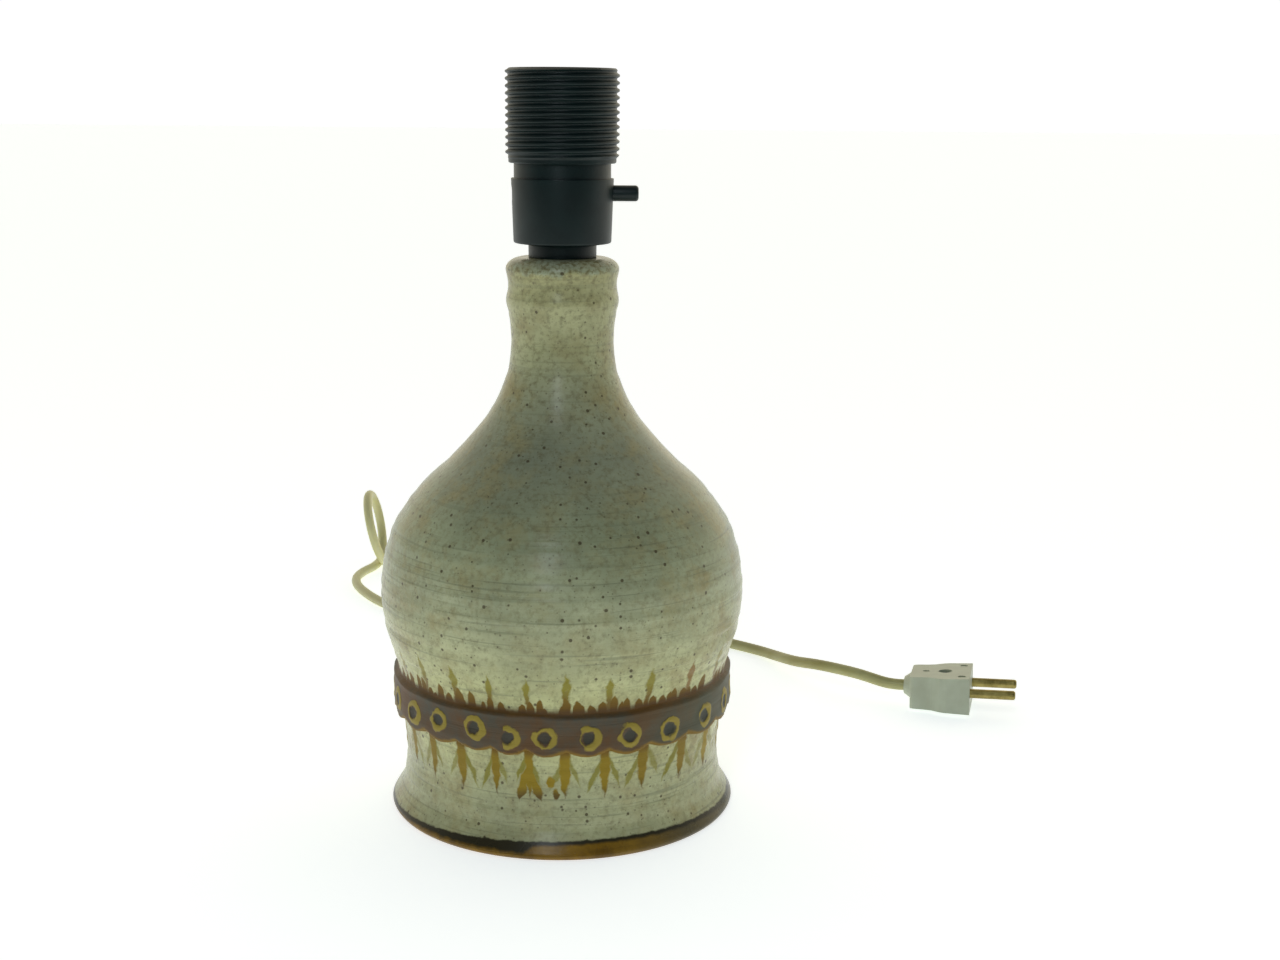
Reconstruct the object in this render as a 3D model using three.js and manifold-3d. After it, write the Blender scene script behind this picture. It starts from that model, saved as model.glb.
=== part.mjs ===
// Ceramic table lamp: a thrown stoneware base, a threaded lamp holder with a push-rod switch, and a flex with a two-pin plug.
// Millimetres, +Z up. The origin is on the table under the centre of the foot; the switch rod points to +X and the flex leaves at +Y.
import * as THREE from "three";
import { mergeVertices } from "three/addons/utils/BufferGeometryUtils.js";
import Module from "manifold-3d";

const wasm = await Module();
wasm.setup();

// Clearances that every piece shares
const gap = 0.3; // between pieces that fit in or on each other
const overrun = 1; // how far a cutting tool runs past the face it opens
const wireSink = 0.6; // how far a wire's end stops short of the floor of its hole

// Stoneware base, outside
const potHeight = 201.5;
const footRadius = 63.5;
const footRound = 2; // rounding under the flared foot
const footInset = 2; // the flat that stands on the table starts this far in from the flare
const waistRadius = 57.8;
const waistHeight = 21.5;
const underBandRadius = 59.3;
const underBandHeight = 38;
const grooveRadius = 60.8; // the narrow place just over the band
const grooveHeight = 54.5;
const bellyRadius = 66.2;
const bellyHeight = 82;
const neckRadius = 18.3;
const neckDrop = 29.5; // the drops are measured down from the rim's flat top
const ridgeRadius = 20.1; // thrown ring under the rim
const ridgeDrop = 15;
const ridgeSkirt = 4.5; // the ridge fades into the neck over this height
const rimGrooveRadius = 19.3;
const rimGrooveDrop = 9.7;
const rimRadius = 20.2;
const rimDrop = 4.2;
const rimFlatRadius = 14.2; // the flat top that the collar sits on
const flareShares = [[0.1, 0.8], [0.21, 0.55], [0.33, 0.33], [0.52, 0.14], [0.76, 0.03]];
const bandToBellyShares = [[0.2, 0.28], [0.5, 0.72], [0.77, 0.94]];
const shoulderShares = [
  [0.12, 0.975], [0.25, 0.9], [0.34, 0.795], [0.43, 0.655], [0.52, 0.47], [0.61, 0.315], [0.7, 0.18], [0.8, 0.08], [0.9, 0.018],
];

// Stoneware base, inside
const wall = 6;
const topPlate = 7; // thickness of the closed neck top
const nippleHoleRadius = 5.5;
const boreHeightShares = [0.11, 0.2, 0.41, 0.52, 0.6, 0.67, 0.74];
const boreNeckShare = 0.82; // from here up the bore is straight

// Raised band with one lobe under each ring of the pattern
const lobeCount = 25;
const lobeSteps = 4;
const bandRadius = 62.6;
const bandTop = 53.4;
const lobeBottom = 38.4;
const notchRise = 3;
const bandEdge = 1.4; // rounding of the band's edges
const bandSink = 2.5; // how deep the slab is pressed into the wall

// Flex
const cordDiameter = 4.8;
const cordBendRadius = 19.3;
const turnGap = 0.6; // between neighbouring turns of the coil
const coilTurns = 5.385;
const coilOuterRadius = 35.2;
const coilStartAngle = 175; // degrees round from +X
const coilX = -59.4;
const coilY = 358;
const coilLayers = 2;
const footTurnX = -100.2;
const footTurnY = 335.3;
const footTurnLean = 11.8; // degrees from upright
const footTurnHeading = 3.9; // degrees from +Y towards +X
const tieWidth = 4.5;
const tieThickness = 0.9;
const tieAngle = 120; // degrees round from +X
const outletHeight = 16;

// Bushing with a strain relief in the back of the foot
const bushingBoreRadius = 2.7;
const bushingShankRadius = 4.3;
const bushingHoleRadius = 4.6;
const bushingFlangeRadius = 6.6;
const bushingFlange = 1.8;
const bushingTail = 22; // length of the tapered strain relief
const bushingTipRadius = 3.3;
const bushingInside = 3; // how far the shank shows inside the wall

// Threaded tube that holds the lamp holder on the neck
const nippleRadius = 5;
const nippleBoreRadius = 3.9;
const nippleBelow = 8.5; // length under the top plate
const nippleAboveFloor = 5.5; // length above the holder's floor
const washerRadius = 11;
const washerThickness = 1.5;
const nutAcross = 14;
const nutHeight = 4.5;

// Collar between the neck and the lamp holder
const collarRadius = 12.05;
const collarHeight = 5;
const collarChamfer = 0.8;

// Lamp holder, lower body
const capBottomRadius = 17.3;
const capTopRadius = 18.1;
const capHeight = 22.6;
const capChamfer = 0.7;
const capFloor = 3;
const capBoreRadius = 14.1;
const capBossRadius = 8.2;
const capBossHeight = 4.5;
const spigotRadius = 17.1; // narrow ring that shows between the lower body and the barrel
const spigotShown = 5.2;
const spigotInBarrel = 10;
const ledgeDrop = 1.1; // the contact block rests on a ledge this far below the shoulder
const lockScrewRadius = 1.5;
const lockScrewLength = 4.2;

// Lamp holder, threaded barrel
const barrelHeight = 32.4;
const threadRadius = 20;
const threadPitch = 2.5;
const threadDepth = 0.9;
const threadCrest = 0.5;
const threadCount = 12;
const barrelPlainRadius = 18.9;
const barrelLip = 2.6;
const barrelMouthRadius = 14.6;
const mouthChamfer = 0.5;

// Contact block with its sleeve round the lamp cap shell
const blockBase = 9;
const sleeveWall = 1.1;
const terminalWidth = 5;
const terminalHeight = 6;
const terminalOffset = 8.6; // from the axis along Y
const terminalHoleRadius = 1.6;
const terminalScrewRadius = 1.5;
const terminalScrewHead = 2.2;
const terminalScrewHeadHeight = 1.4;
const slotWidth = 0.6;
const slotDepth = 0.7;

// Lamp cap shell for an E27 bulb
const shellMinorRadius = 12.2;
const shellThreadDepth = 0.9;
const shellWall = 0.5;
const shellPitch = 3.63;
const shellThreads = 4;
const shellPlain = 2.6; // plain height at each end of the thread
const shellFlangeRadius = 10.6;

// Centre contact, a bent brass strip
const stripWidth = 5;
const stripThickness = 0.6;
const stripReach = 8.5;
const stripLift = 4;
const stripTipShare = 0.35;

// Push-rod switch
const rodRadius = 2.8;
const rodShown = 8.7; // how far it stands out at +X
const rodHeightInCap = 17.4; // centre of the rod above the cap's underside
const rodTravel = 7.5;
const rodGap = 0.3;
const rodTipRound = 1.1;
const rodChamfer = 0.4;
const detentWidth = 1.8;
const detentDepth = 0.5;
const detentX = -8;
const bridgeX = 4;
const bridgeWidth = 1;
const bridgeRadius = 3.7;
const bridgeSeatDepth = 0.7;
const leafWidth = 3;
const leafThickness = 0.5;
const leafReach = bridgeX - bridgeWidth / 2 - rodTravel - gap - detentX; // ends short of the bridge

// Cores of the flex inside the holder
const coreDiameter = 2.2;

// Two-pin plug on the table. Its halves part at the pins' axes, and it stays a little on its far edge.
const plugX = 176.6;
const plugY = 90.95;
const plugYaw = -16; // degrees, the way the pins point
const plugRoll = -3.4; // degrees, the far side down
const plugLength = 25.6;
const plugWidth = 28.2;
const plugTailWidth = 22.8;
const plugCoverHeight = 7.35; // from the parting up, at the pins
const plugCoverTail = 6.3; // the same at the flex
const plugBaseHeight = 8.35; // from the parting down, at the pins
const plugBaseTail = 7.4;
const plugCorner = 2;
const plugFlareFrom = 10; // the sides draw in between these two distances from the pins' face
const plugFlareTo = 18.5;
const plugNose = 3;
const plugNoseWidth = 19;
const plugNoseHeight = 12.4;
const plugNoseTip = 11;
const pinRadius = 2;
const pinSpacing = 19;
const pinShown = 19;
const pinInside = 9;
const pinTipRound = 1;
const plugScrewRadius = 1.5;
const plugScrewHead = 2.6;
const plugScrewHeadHeight = 1.6;
const plugScrewSink = 1.2; // depth of the head under the cover's face
const plugScrewX = -11.1;
const cordGripLength = 9;
const dimpleRadius = 1.7;
const dimpleDepth = 0.4;
const dimpleInset = 3.5;
const markRadius = 1.5;
const markX = -19.3;

// How finely round shapes are cut
const potSegments = 48;
const holderSegments = 32;
const rodSegments = 20;
const smallSegments = 16;
const tubeSides = 8;
const loopSides = 6;
const loopSteps = 24;

// Levels of the neck and rim
const neckHeight = potHeight - neckDrop;
const ridgeHeight = potHeight - ridgeDrop;
const rimGrooveHeight = potHeight - rimGrooveDrop;
const rimHeight = potHeight - rimDrop;

// Levels that the stack on the neck shares
const plateUnder = potHeight - topPlate;
const capZ = potHeight + collarHeight;
const shoulderZ = capZ + capHeight;
const ledgeZ = shoulderZ - ledgeDrop;
const barrelZ = shoulderZ + spigotShown;
const rimZ = barrelZ + barrelHeight;
const lipZ = rimZ - barrelLip;
const spigotTopZ = barrelZ + spigotInBarrel;
const blockRadius = spigotRadius - sleeveWall - gap * 2;
const sleeveBore = blockRadius - sleeveWall;
const blockTopZ = ledgeZ + blockBase;
const rodZ = capZ + rodHeightInCap;
const nippleTop = capZ + capFloor + nippleAboveFloor;
const cordRadius = cordDiameter / 2;

// Materials with the colours that the finished lamp has
function material(color, roughness, metalness = 0) {
  return new THREE.MeshStandardMaterial({ color, roughness, metalness });
}
const stoneware = material("#a9a78c", 0.35);
const blackPlastic = material("#1b2022", 0.45);
const brownPhenolic = material("#3a2419", 0.5);
const brass = material("#b08d4a", 0.3, 1);
const steel = material("#8f9294", 0.35, 1);
const flexPvc = material("#c9c48f", 0.5);
const liveCore = material("#6b4226", 0.5);
const neutralCore = material("#2f5d86", 0.5);
const whitePlastic = material("#d9dcdb", 0.45);
const tieMaterial = material("#e4e2d6", 0.6);

const lamp = new THREE.Group();

// Gives the geometry merged corners and outward faces, so that it is one closed body
function closed(geometry) {
  const bare = geometry.clone();
  for (const name of Object.keys(bare.attributes)) {
    if (name !== "position") bare.deleteAttribute(name);
  }
  const merged = mergeVertices(bare, 1e-4);
  const { array } = merged.attributes.position;
  const source = merged.index.array;
  const corner = (i) => new THREE.Vector3().fromArray(array, 3 * i);
  const kept = [];
  let volume = 0;
  for (let i = 0; i < source.length; i += 3) {
    const [a, b, c] = [source[i], source[i + 1], source[i + 2]];
    if (a === b || b === c || c === a) continue;
    kept.push(a, b, c);
    volume += corner(a).dot(corner(b).cross(corner(c)));
  }
  if (volume < 0) {
    for (let i = 0; i < kept.length; i += 3) [kept[i], kept[i + 1]] = [kept[i + 1], kept[i]];
  }
  merged.setIndex(kept);
  return merged;
}

function toSolid(geometry) {
  const body = closed(geometry);
  const vertProperties = new Float32Array(body.attributes.position.array);
  const triVerts = new Uint32Array(body.index.array);
  return new wasm.Manifold(new wasm.Mesh({ numProp: 3, vertProperties, triVerts }));
}

function toGeometry(solid) {
  const mesh = solid.getMesh();
  const geometry = new THREE.BufferGeometry();
  geometry.setAttribute("position", new THREE.BufferAttribute(new Float32Array(mesh.vertProperties), 3));
  geometry.setIndex(new THREE.BufferAttribute(new Uint32Array(mesh.triVerts), 1));
  return geometry;
}

function cut(geometry, ...tools) {
  let solid = toSolid(geometry);
  for (const tool of tools) solid = solid.subtract(toSolid(tool));
  return toGeometry(solid);
}

function join(geometry, ...others) {
  let solid = toSolid(geometry);
  for (const other of others) solid = solid.add(toSolid(other));
  return toGeometry(solid);
}

function add(name, geometry, finish, parent = lamp) {
  const body = closed(geometry);
  body.computeVertexNormals();
  const mesh = new THREE.Mesh(body, finish);
  mesh.name = name;
  parent.add(mesh);
  return mesh;
}

// A turned body round Z from [radius, height] pairs that start and end on the axis or close on themselves
function turned(outline, segments) {
  const points = outline.map(([r, z]) => new THREE.Vector2(r, z));
  return new THREE.LatheGeometry(points, segments).rotateX(Math.PI / 2);
}

function ring(outline, segments) {
  return turned([...outline, outline[0]], segments);
}

function rod(radius, length, segments = smallSegments) {
  return new THREE.CylinderGeometry(radius, radius, length, segments).rotateX(Math.PI / 2);
}

function quarterArc(centre, radii, fromAngle, toAngle, steps) {
  const points = [];
  for (let i = 0; i <= steps; i += 1) {
    const angle = THREE.MathUtils.degToRad(fromAngle + ((toAngle - fromAngle) * i) / steps);
    points.push([centre[0] + radii[0] * Math.cos(angle), centre[1] + radii[1] * Math.sin(angle)]);
  }
  return points;
}

// A solid tube along a curve, with flat ends square to it
function tube(curve, radius, sides, steps) {
  const section = new THREE.Shape();
  for (let i = 0; i < sides; i += 1) {
    const angle = (2 * Math.PI * (i + 0.5)) / sides;
    const [x, y] = [radius * Math.cos(angle), radius * Math.sin(angle)];
    if (i === 0) section.moveTo(x, y);
    else section.lineTo(x, y);
  }
  section.closePath();
  return new THREE.ExtrudeGeometry(section, { steps, bevelEnabled: false, extrudePath: curve });
}

function smooth(points) {
  return new THREE.CatmullRomCurve3(points.map((p) => (p.isVector3 ? p : new THREE.Vector3(...p))), false, "centripetal");
}

// Points between two stations of the outline, placed by shares of the way
function between(low, high, shares) {
  return shares.map(([up, across]) => [
    high[0] + (low[0] - high[0]) * across,
    low[1] + (high[1] - low[1]) * up,
  ]);
}

// The pot's outer outline from the foot to the rim
const foot = [footRadius, footRound];
const waist = [waistRadius, waistHeight];
const groove = [grooveRadius, grooveHeight];
const belly = [bellyRadius, bellyHeight];
const neck = [neckRadius, neckHeight];
const flare = between(foot, waist, flareShares);
const rise = bandToBellyShares.map(([up, out]) => [
  grooveRadius + (bellyRadius - grooveRadius) * out,
  grooveHeight + (bellyHeight - grooveHeight) * up,
]);
const shoulder = between(belly, neck, shoulderShares);
const outline = [
  ...quarterArc([footRadius - footInset, footRound], [footInset, footRound], -90, 0, 3),
  ...flare,
  waist,
  [underBandRadius, underBandHeight],
  groove,
  ...rise,
  belly,
  ...shoulder,
  neck,
  [(neckRadius + ridgeRadius) / 2, ridgeHeight - ridgeSkirt],
  [ridgeRadius, ridgeHeight],
  [rimGrooveRadius, rimGrooveHeight],
  ...quarterArc([rimFlatRadius, rimHeight], [rimRadius - rimFlatRadius, potHeight - rimHeight], 0, 90, 4),
];

function outlineRadius(z) {
  const above = outline.findIndex((point) => point[1] > z);
  const [low, high] = [outline[above - 1], outline[above]];
  return low[0] + ((high[0] - low[0]) * (z - low[1])) / (high[1] - low[1]);
}

const outletFace = outlineRadius(outletHeight) - gap; // flat that is ground round the flex's hole

// The slab of the band, its lower edge scalloped into lobes
function bandSlab() {
  const columns = lobeCount * lobeSteps;
  const positions = [];
  const index = [];
  const buried = underBandRadius - bandSink;
  const rows = 7;
  for (let i = 0; i < columns; i += 1) {
    const angle = (2 * Math.PI * i) / columns;
    const lobe = Math.abs(Math.cos((lobeCount * (angle + Math.PI / 2)) / 2));
    const low = lobeBottom + notchRise * (1 - lobe);
    const section = [
      [buried, low + bandEdge],
      [(outlineRadius(low) + bandRadius) / 2, low],
      [bandRadius - bandEdge / 4, low + bandEdge * 0.7],
      [bandRadius, low + bandEdge * 2],
      [bandRadius, bandTop - bandEdge],
      [bandRadius - bandEdge / 2, bandTop],
      [buried, bandTop - bandEdge / 2],
    ];
    for (const [r, z] of section) positions.push(r * Math.cos(angle), r * Math.sin(angle), z);
  }
  for (let i = 0; i < columns; i += 1) {
    const next = (i + 1) % columns;
    for (let j = 0; j < rows; j += 1) {
      const up = (j + 1) % rows;
      const [a, b, c, d] = [i * rows + j, next * rows + j, next * rows + up, i * rows + up];
      index.push(a, b, c, a, c, d);
    }
  }
  const geometry = new THREE.BufferGeometry();
  geometry.setAttribute("position", new THREE.Float32BufferAttribute(positions, 3));
  geometry.setIndex(index);
  return geometry;
}

function makeBase() {
  const boreTop = neckRadius - wall;
  const bore = boreHeightShares.map((share) => [
    outlineRadius(share * plateUnder) - wall,
    share * plateUnder,
  ]);
  const pot = ring([
    [nippleHoleRadius, potHeight],
    ...[...outline].reverse(),
    [waistRadius - wall, 0],
    ...bore,
    [boreTop, boreNeckShare * plateUnder],
    [boreTop, plateUnder],
    [nippleHoleRadius, plateUnder],
  ], potSegments);
  const outlet = rod(bushingHoleRadius, footRadius)
    .rotateX(Math.PI / 2)
    .translate(0, footRadius / 2 + (waistRadius - wall) / 2, outletHeight);
  const seat = rod(bushingFlangeRadius + gap, footRadius)
    .rotateX(Math.PI / 2)
    .translate(0, footRadius / 2 + outletFace, outletHeight);
  add("stoneware_body", cut(join(pot, bandSlab()), outlet, seat), stoneware);
}

function makeNeckFixing() {
  const nutTop = plateUnder - washerThickness;
  const nippleBottom = plateUnder - nippleBelow;
  add("nipple_washer", ring([
    [nippleHoleRadius, nutTop], [washerRadius, nutTop], [washerRadius, plateUnder], [nippleHoleRadius, plateUnder],
  ], holderSegments), steel);
  const hexagon = new THREE.CylinderGeometry(1, 1, nutHeight, 6)
    .rotateX(Math.PI / 2)
    .scale(nutAcross / Math.sqrt(3), nutAcross / Math.sqrt(3), 1)
    .translate(0, 0, nutTop - nutHeight / 2);
  const nutHole = rod(nippleRadius + gap, nutHeight + 2 * overrun, holderSegments)
    .translate(0, 0, nutTop - nutHeight / 2);
  add("nipple_nut", cut(hexagon, nutHole), brass);
  add("threaded_nipple", ring([
    [nippleBoreRadius, nippleBottom], [nippleRadius, nippleBottom], [nippleRadius, nippleTop], [nippleBoreRadius, nippleTop],
  ], holderSegments), steel);
  const collarBore = nippleRadius + gap;
  add("holder_collar", ring([
    [collarBore, potHeight],
    [collarRadius, potHeight],
    [collarRadius, capZ - collarChamfer],
    [collarRadius - collarChamfer, capZ],
    [collarBore, capZ],
  ], holderSegments), blackPlastic);
}

function makeHolderCap() {
  const boreRadius = nippleRadius + gap;
  const floorZ = capZ + capFloor;
  const upperBore = blockRadius + gap;
  const body = ring([
    [boreRadius, capZ],
    [capBottomRadius - capChamfer, capZ],
    [capBottomRadius, capZ + capChamfer],
    [capTopRadius, shoulderZ],
    [spigotRadius, shoulderZ],
    [spigotRadius, spigotTopZ],
    [upperBore, spigotTopZ],
    [upperBore, ledgeZ],
    [capBoreRadius, ledgeZ],
    [capBoreRadius, floorZ],
    [capBossRadius, floorZ],
    [capBossRadius, floorZ + capBossHeight],
    [boreRadius, floorZ + capBossHeight],
  ], holderSegments);
  const rodWay = rod(rodRadius + rodGap, 2 * (capTopRadius + overrun)).rotateY(Math.PI / 2).translate(0, 0, rodZ);
  const screwZ = floorZ + capBossHeight / 2;
  const screwWay = rod(lockScrewRadius + gap, capBossRadius)
    .rotateX(Math.PI / 2)
    .translate(0, boreRadius - overrun + capBossRadius / 2, screwZ);
  add("holder_cap", cut(body, rodWay, screwWay), blackPlastic);
  const screwStart = nippleRadius + gap;
  const shank = rod(lockScrewRadius, lockScrewLength).rotateX(Math.PI / 2)
    .translate(0, screwStart + lockScrewLength / 2, screwZ);
  const slot = new THREE.BoxGeometry(2 * lockScrewRadius + overrun, 2 * slotDepth, slotWidth)
    .translate(0, screwStart + lockScrewLength, screwZ);
  add("nipple_lock_screw", cut(shank, slot), steel);
}

// Parallel ribs stand where the real barrel has one helical thread
function makeBarrel() {
  const thread = [];
  const threadTop = rimZ - threadPitch / 4;
  for (let i = 0; i < threadCount; i += 1) {
    const z = threadTop - i * threadPitch;
    thread.push([threadRadius, z + threadCrest / 2 - threadPitch / 4]);
    thread.push([threadRadius, z - threadCrest / 2 - threadPitch / 4]);
    thread.push([threadRadius - threadDepth, z - threadPitch * 0.75]);
  }
  const bore = spigotRadius + gap;
  add("threaded_barrel", ring([
    [bore, lipZ],
    [barrelMouthRadius, lipZ],
    [barrelMouthRadius, rimZ - mouthChamfer],
    [barrelMouthRadius + mouthChamfer, rimZ],
    [threadRadius - threadDepth, rimZ],
    ...thread,
    [barrelPlainRadius, barrelZ],
    [bore, barrelZ],
  ], holderSegments), blackPlastic);
}

function makeContacts() {
  const sleeveTop = lipZ - gap;
  const block = ring([
    [terminalHoleRadius, ledgeZ],
    [blockRadius, ledgeZ],
    [blockRadius, sleeveTop],
    [sleeveBore, sleeveTop],
    [sleeveBore, blockTopZ],
    [terminalHoleRadius, blockTopZ],
  ], holderSegments);
  add("contact_block", block, brownPhenolic);

  // The shell is rolled sheet, so both its faces follow the thread
  const shellZ = blockTopZ + gap;
  const inner = [[shellMinorRadius, shellZ + shellWall]];
  const outer = [[shellMinorRadius + shellWall, shellZ]];
  for (let i = 0; i < shellThreads; i += 1) {
    const z = shellZ + shellPlain + i * shellPitch;
    for (const [share, out] of [[0, 0], [0.5, 1]]) {
      inner.push([shellMinorRadius + shellThreadDepth * out, z + shellPitch * share]);
      outer.push([shellMinorRadius + shellThreadDepth * out + shellWall, z + shellPitch * share]);
    }
  }
  const shellTop = shellZ + 2 * shellPlain + shellThreads * shellPitch;
  for (const z of [shellTop - shellPlain, shellTop]) {
    inner.push([shellMinorRadius, z]);
    outer.push([shellMinorRadius + shellWall, z]);
  }
  add("lamp_screw_shell", ring([
    [shellFlangeRadius, shellZ],
    ...outer,
    ...inner.reverse(),
    [shellFlangeRadius, shellZ + shellWall],
  ], holderSegments), brass);

  // The centre contact lies on the block and bends up to the middle of the socket
  const strip = new THREE.Shape();
  const bottom = blockTopZ + gap;
  const tip = stripReach * stripTipShare;
  strip.moveTo(stripReach, bottom);
  strip.lineTo(stripReach, bottom + stripThickness);
  strip.lineTo(stripReach / 2, bottom + stripThickness);
  strip.lineTo(tip / 2, bottom + stripLift);
  strip.lineTo(-tip, bottom + stripLift);
  strip.lineTo(-tip, bottom + stripLift - stripThickness);
  strip.lineTo(tip / 2 - stripThickness, bottom + stripLift - stripThickness);
  strip.lineTo(stripReach / 2 - stripThickness, bottom);
  strip.closePath();
  const bent = new THREE.ExtrudeGeometry(strip, { depth: stripWidth, bevelEnabled: false, steps: 1 })
    .rotateX(Math.PI / 2)
    .translate(0, stripWidth / 2, 0);
  add("centre_contact", bent, brass);

  for (const [name, side] of [["live", 1], ["neutral", -1]]) {
    const y = side * terminalOffset;
    const bottomZ = ledgeZ - terminalHeight;
    const blockBody = new THREE.BoxGeometry(terminalWidth, terminalWidth, terminalHeight)
      .translate(0, y, bottomZ + terminalHeight / 2);
    const screwHole = rod(terminalScrewRadius + gap, terminalHeight).translate(0, y, bottomZ);
    const wireHole = rod(terminalHoleRadius, terminalWidth)
      .rotateY(Math.PI / 2)
      .translate(-terminalWidth / 2, y, ledgeZ - terminalHeight / 3);
    add(`terminal_${name}`, cut(blockBody, screwHole, wireHole), brass);
    const screwTop = bottomZ + terminalHeight / 2 - gap;
    const head = rod(terminalScrewHead, terminalScrewHeadHeight)
      .translate(0, y, bottomZ - terminalScrewHeadHeight / 2);
    const shankLength = screwTop - bottomZ + terminalScrewHeadHeight / 2;
    const shank = rod(terminalScrewRadius, shankLength).translate(0, y, screwTop - shankLength / 2);
    const slot = new THREE.BoxGeometry(2 * terminalScrewHead + overrun, slotWidth, 2 * slotDepth)
      .translate(0, y, bottomZ - terminalScrewHeadHeight);
    add(`terminal_screw_${name}`, cut(join(head, shank), slot), steel);
  }
}

function makeSwitch() {
  const start = -capTopRadius + rodChamfer;
  const end = capTopRadius + rodShown;
  const grooveAt = (x, width, depth) => [
    [rodRadius, x - width / 2 - depth],
    [rodRadius - depth, x - width / 2],
    [rodRadius - depth, x + width / 2],
    [rodRadius, x + width / 2 + depth],
  ];
  const outlinePoints = [
    [0, start],
    [rodRadius - rodChamfer, start],
    [rodRadius, start + rodChamfer],
    ...grooveAt(detentX, detentWidth, detentDepth),
    ...grooveAt(detentX + rodTravel, detentWidth, detentDepth),
    [rodRadius, bridgeX - bridgeWidth / 2 - gap],
    [rodRadius - bridgeSeatDepth, bridgeX - bridgeWidth / 2 - gap],
    [rodRadius - bridgeSeatDepth, bridgeX + bridgeWidth / 2 + gap],
    [rodRadius, bridgeX + bridgeWidth / 2 + gap],
    ...quarterArc([rodRadius - rodTipRound, end - rodTipRound], [rodTipRound, rodTipRound], 0, 90, 3),
    [0, end],
  ];
  add("switch_rod", turned(outlinePoints, rodSegments).rotateY(Math.PI / 2).translate(0, 0, rodZ), blackPlastic);
  const bridgeBore = rodRadius - bridgeSeatDepth + gap;
  add("contact_bridge", ring([
    [bridgeBore, bridgeX - bridgeWidth / 2],
    [bridgeRadius, bridgeX - bridgeWidth / 2],
    [bridgeRadius, bridgeX + bridgeWidth / 2],
    [bridgeBore, bridgeX + bridgeWidth / 2],
  ], rodSegments).rotateY(Math.PI / 2).translate(0, 0, rodZ), brass);

  // A leaf under the block presses into the rod's two grooves
  const top = ledgeZ - gap;
  const touch = rodZ + rodRadius + gap;
  const leaf = new THREE.Shape();
  leaf.moveTo(detentX - leafReach, top);
  leaf.lineTo(detentX - leafReach, top - leafThickness);
  leaf.lineTo(detentX - detentWidth, top - leafThickness);
  leaf.lineTo(detentX, touch);
  leaf.lineTo(detentX + detentWidth, top - leafThickness);
  leaf.lineTo(detentX + leafReach, top - leafThickness);
  leaf.lineTo(detentX + leafReach, top);
  leaf.closePath();
  const bent = new THREE.ExtrudeGeometry(leaf, { depth: leafWidth, bevelEnabled: false, steps: 1 })
    .rotateX(Math.PI / 2)
    .translate(0, leafWidth / 2, 0);
  add("detent_leaf", bent, steel);
}

// The flex leaves through a bushing in the back of the foot, whose tail tapers along the flex
const flangeFace = outletFace + gap + bushingFlange;
const tailTip = flangeFace + bushingTail;

function makeBushing() {
  const inside = waistRadius - wall - bushingInside;
  const face = outletFace + gap;
  const body = ring([
    [bushingBoreRadius, inside],
    [bushingShankRadius, inside],
    [bushingShankRadius, face],
    [bushingFlangeRadius, face],
    [bushingFlangeRadius, flangeFace],
    [bushingShankRadius, flangeFace],
    [bushingTipRadius, tailTip],
    [bushingBoreRadius, tailTip],
  ], rodSegments).rotateX(-Math.PI / 2).translate(0, 0, outletHeight);
  add("cord_bushing", body, blackPlastic);
}

// The flex inside the lamp, from the bushing's flange up the back wall and through the threaded tube
function makeInnerCord() {
  const start = flangeFace - gap;
  const sheathEnd = nippleTop + wireSink;
  const bendStart = waistRadius - wall - bushingInside - gap;
  const riserY = bendStart - cordBendRadius;
  const bendCentre = [bendStart, outletHeight + cordBendRadius];
  const bend = quarterArc(bendCentre, [cordBendRadius, cordBendRadius], -90, -180, 4).map(([y, z]) => [0, y, z]);
  const route = [
    [0, start, outletHeight],
    [0, (start + bendStart) / 2, outletHeight],
    ...bend,
    [0, riserY, plateUnder * 0.35],
    [0, riserY, plateUnder * 0.5],
    [0, riserY * 0.85, plateUnder * 0.62],
    [0, riserY * 0.45, plateUnder * 0.75],
    [0, riserY * 0.1, plateUnder * 0.87],
    [0, 0, plateUnder - nippleBelow],
    [0, 0, potHeight],
    [0, 0, sheathEnd],
  ];
  add("inner_cord", tube(smooth(route), cordRadius, tubeSides, 30), flexPvc);

  const coreStart = sheathEnd + gap;
  for (const [name, side, finish] of [["live", 1, liveCore], ["neutral", -1, neutralCore]]) {
    const y = side * terminalOffset;
    const entryZ = ledgeZ - terminalHeight / 3;
    const splitY = side * (coreDiameter / 2 + gap / 2);
    const outX = -terminalWidth - coreDiameter;
    const coreRoute = [
      [0, splitY, coreStart],
      [0, splitY, coreStart + gap],
      [-coreDiameter / 4, splitY + side * gap, coreStart + coreDiameter / 2],
      [-coreDiameter, side * (rodRadius + coreDiameter / 2), coreStart + coreDiameter],
      [outX, side * (rodRadius + 2 * coreDiameter), (coreStart + entryZ) / 2 + coreDiameter / 2],
      [outX, y, entryZ - coreDiameter / 4],
      [-terminalWidth, y, entryZ],
      [-terminalWidth / 2 + wireSink, y, entryZ],
    ];
    add(`core_${name}`, tube(smooth(coreRoute), coreDiameter / 2, tubeSides, 12), finish);
  }
}

// The free flex on the table: from the bushing, round a wide bend, up through one upright turn, into the coil and on to the plug
const heading = THREE.MathUtils.degToRad(footTurnHeading);
const ahead = new THREE.Vector3(Math.sin(heading), Math.cos(heading), 0);
const aside = new THREE.Vector3(Math.cos(heading), -Math.sin(heading), 0);
const pitch = cordDiameter + turnGap;
const tieLift = tieThickness + gap;

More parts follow.
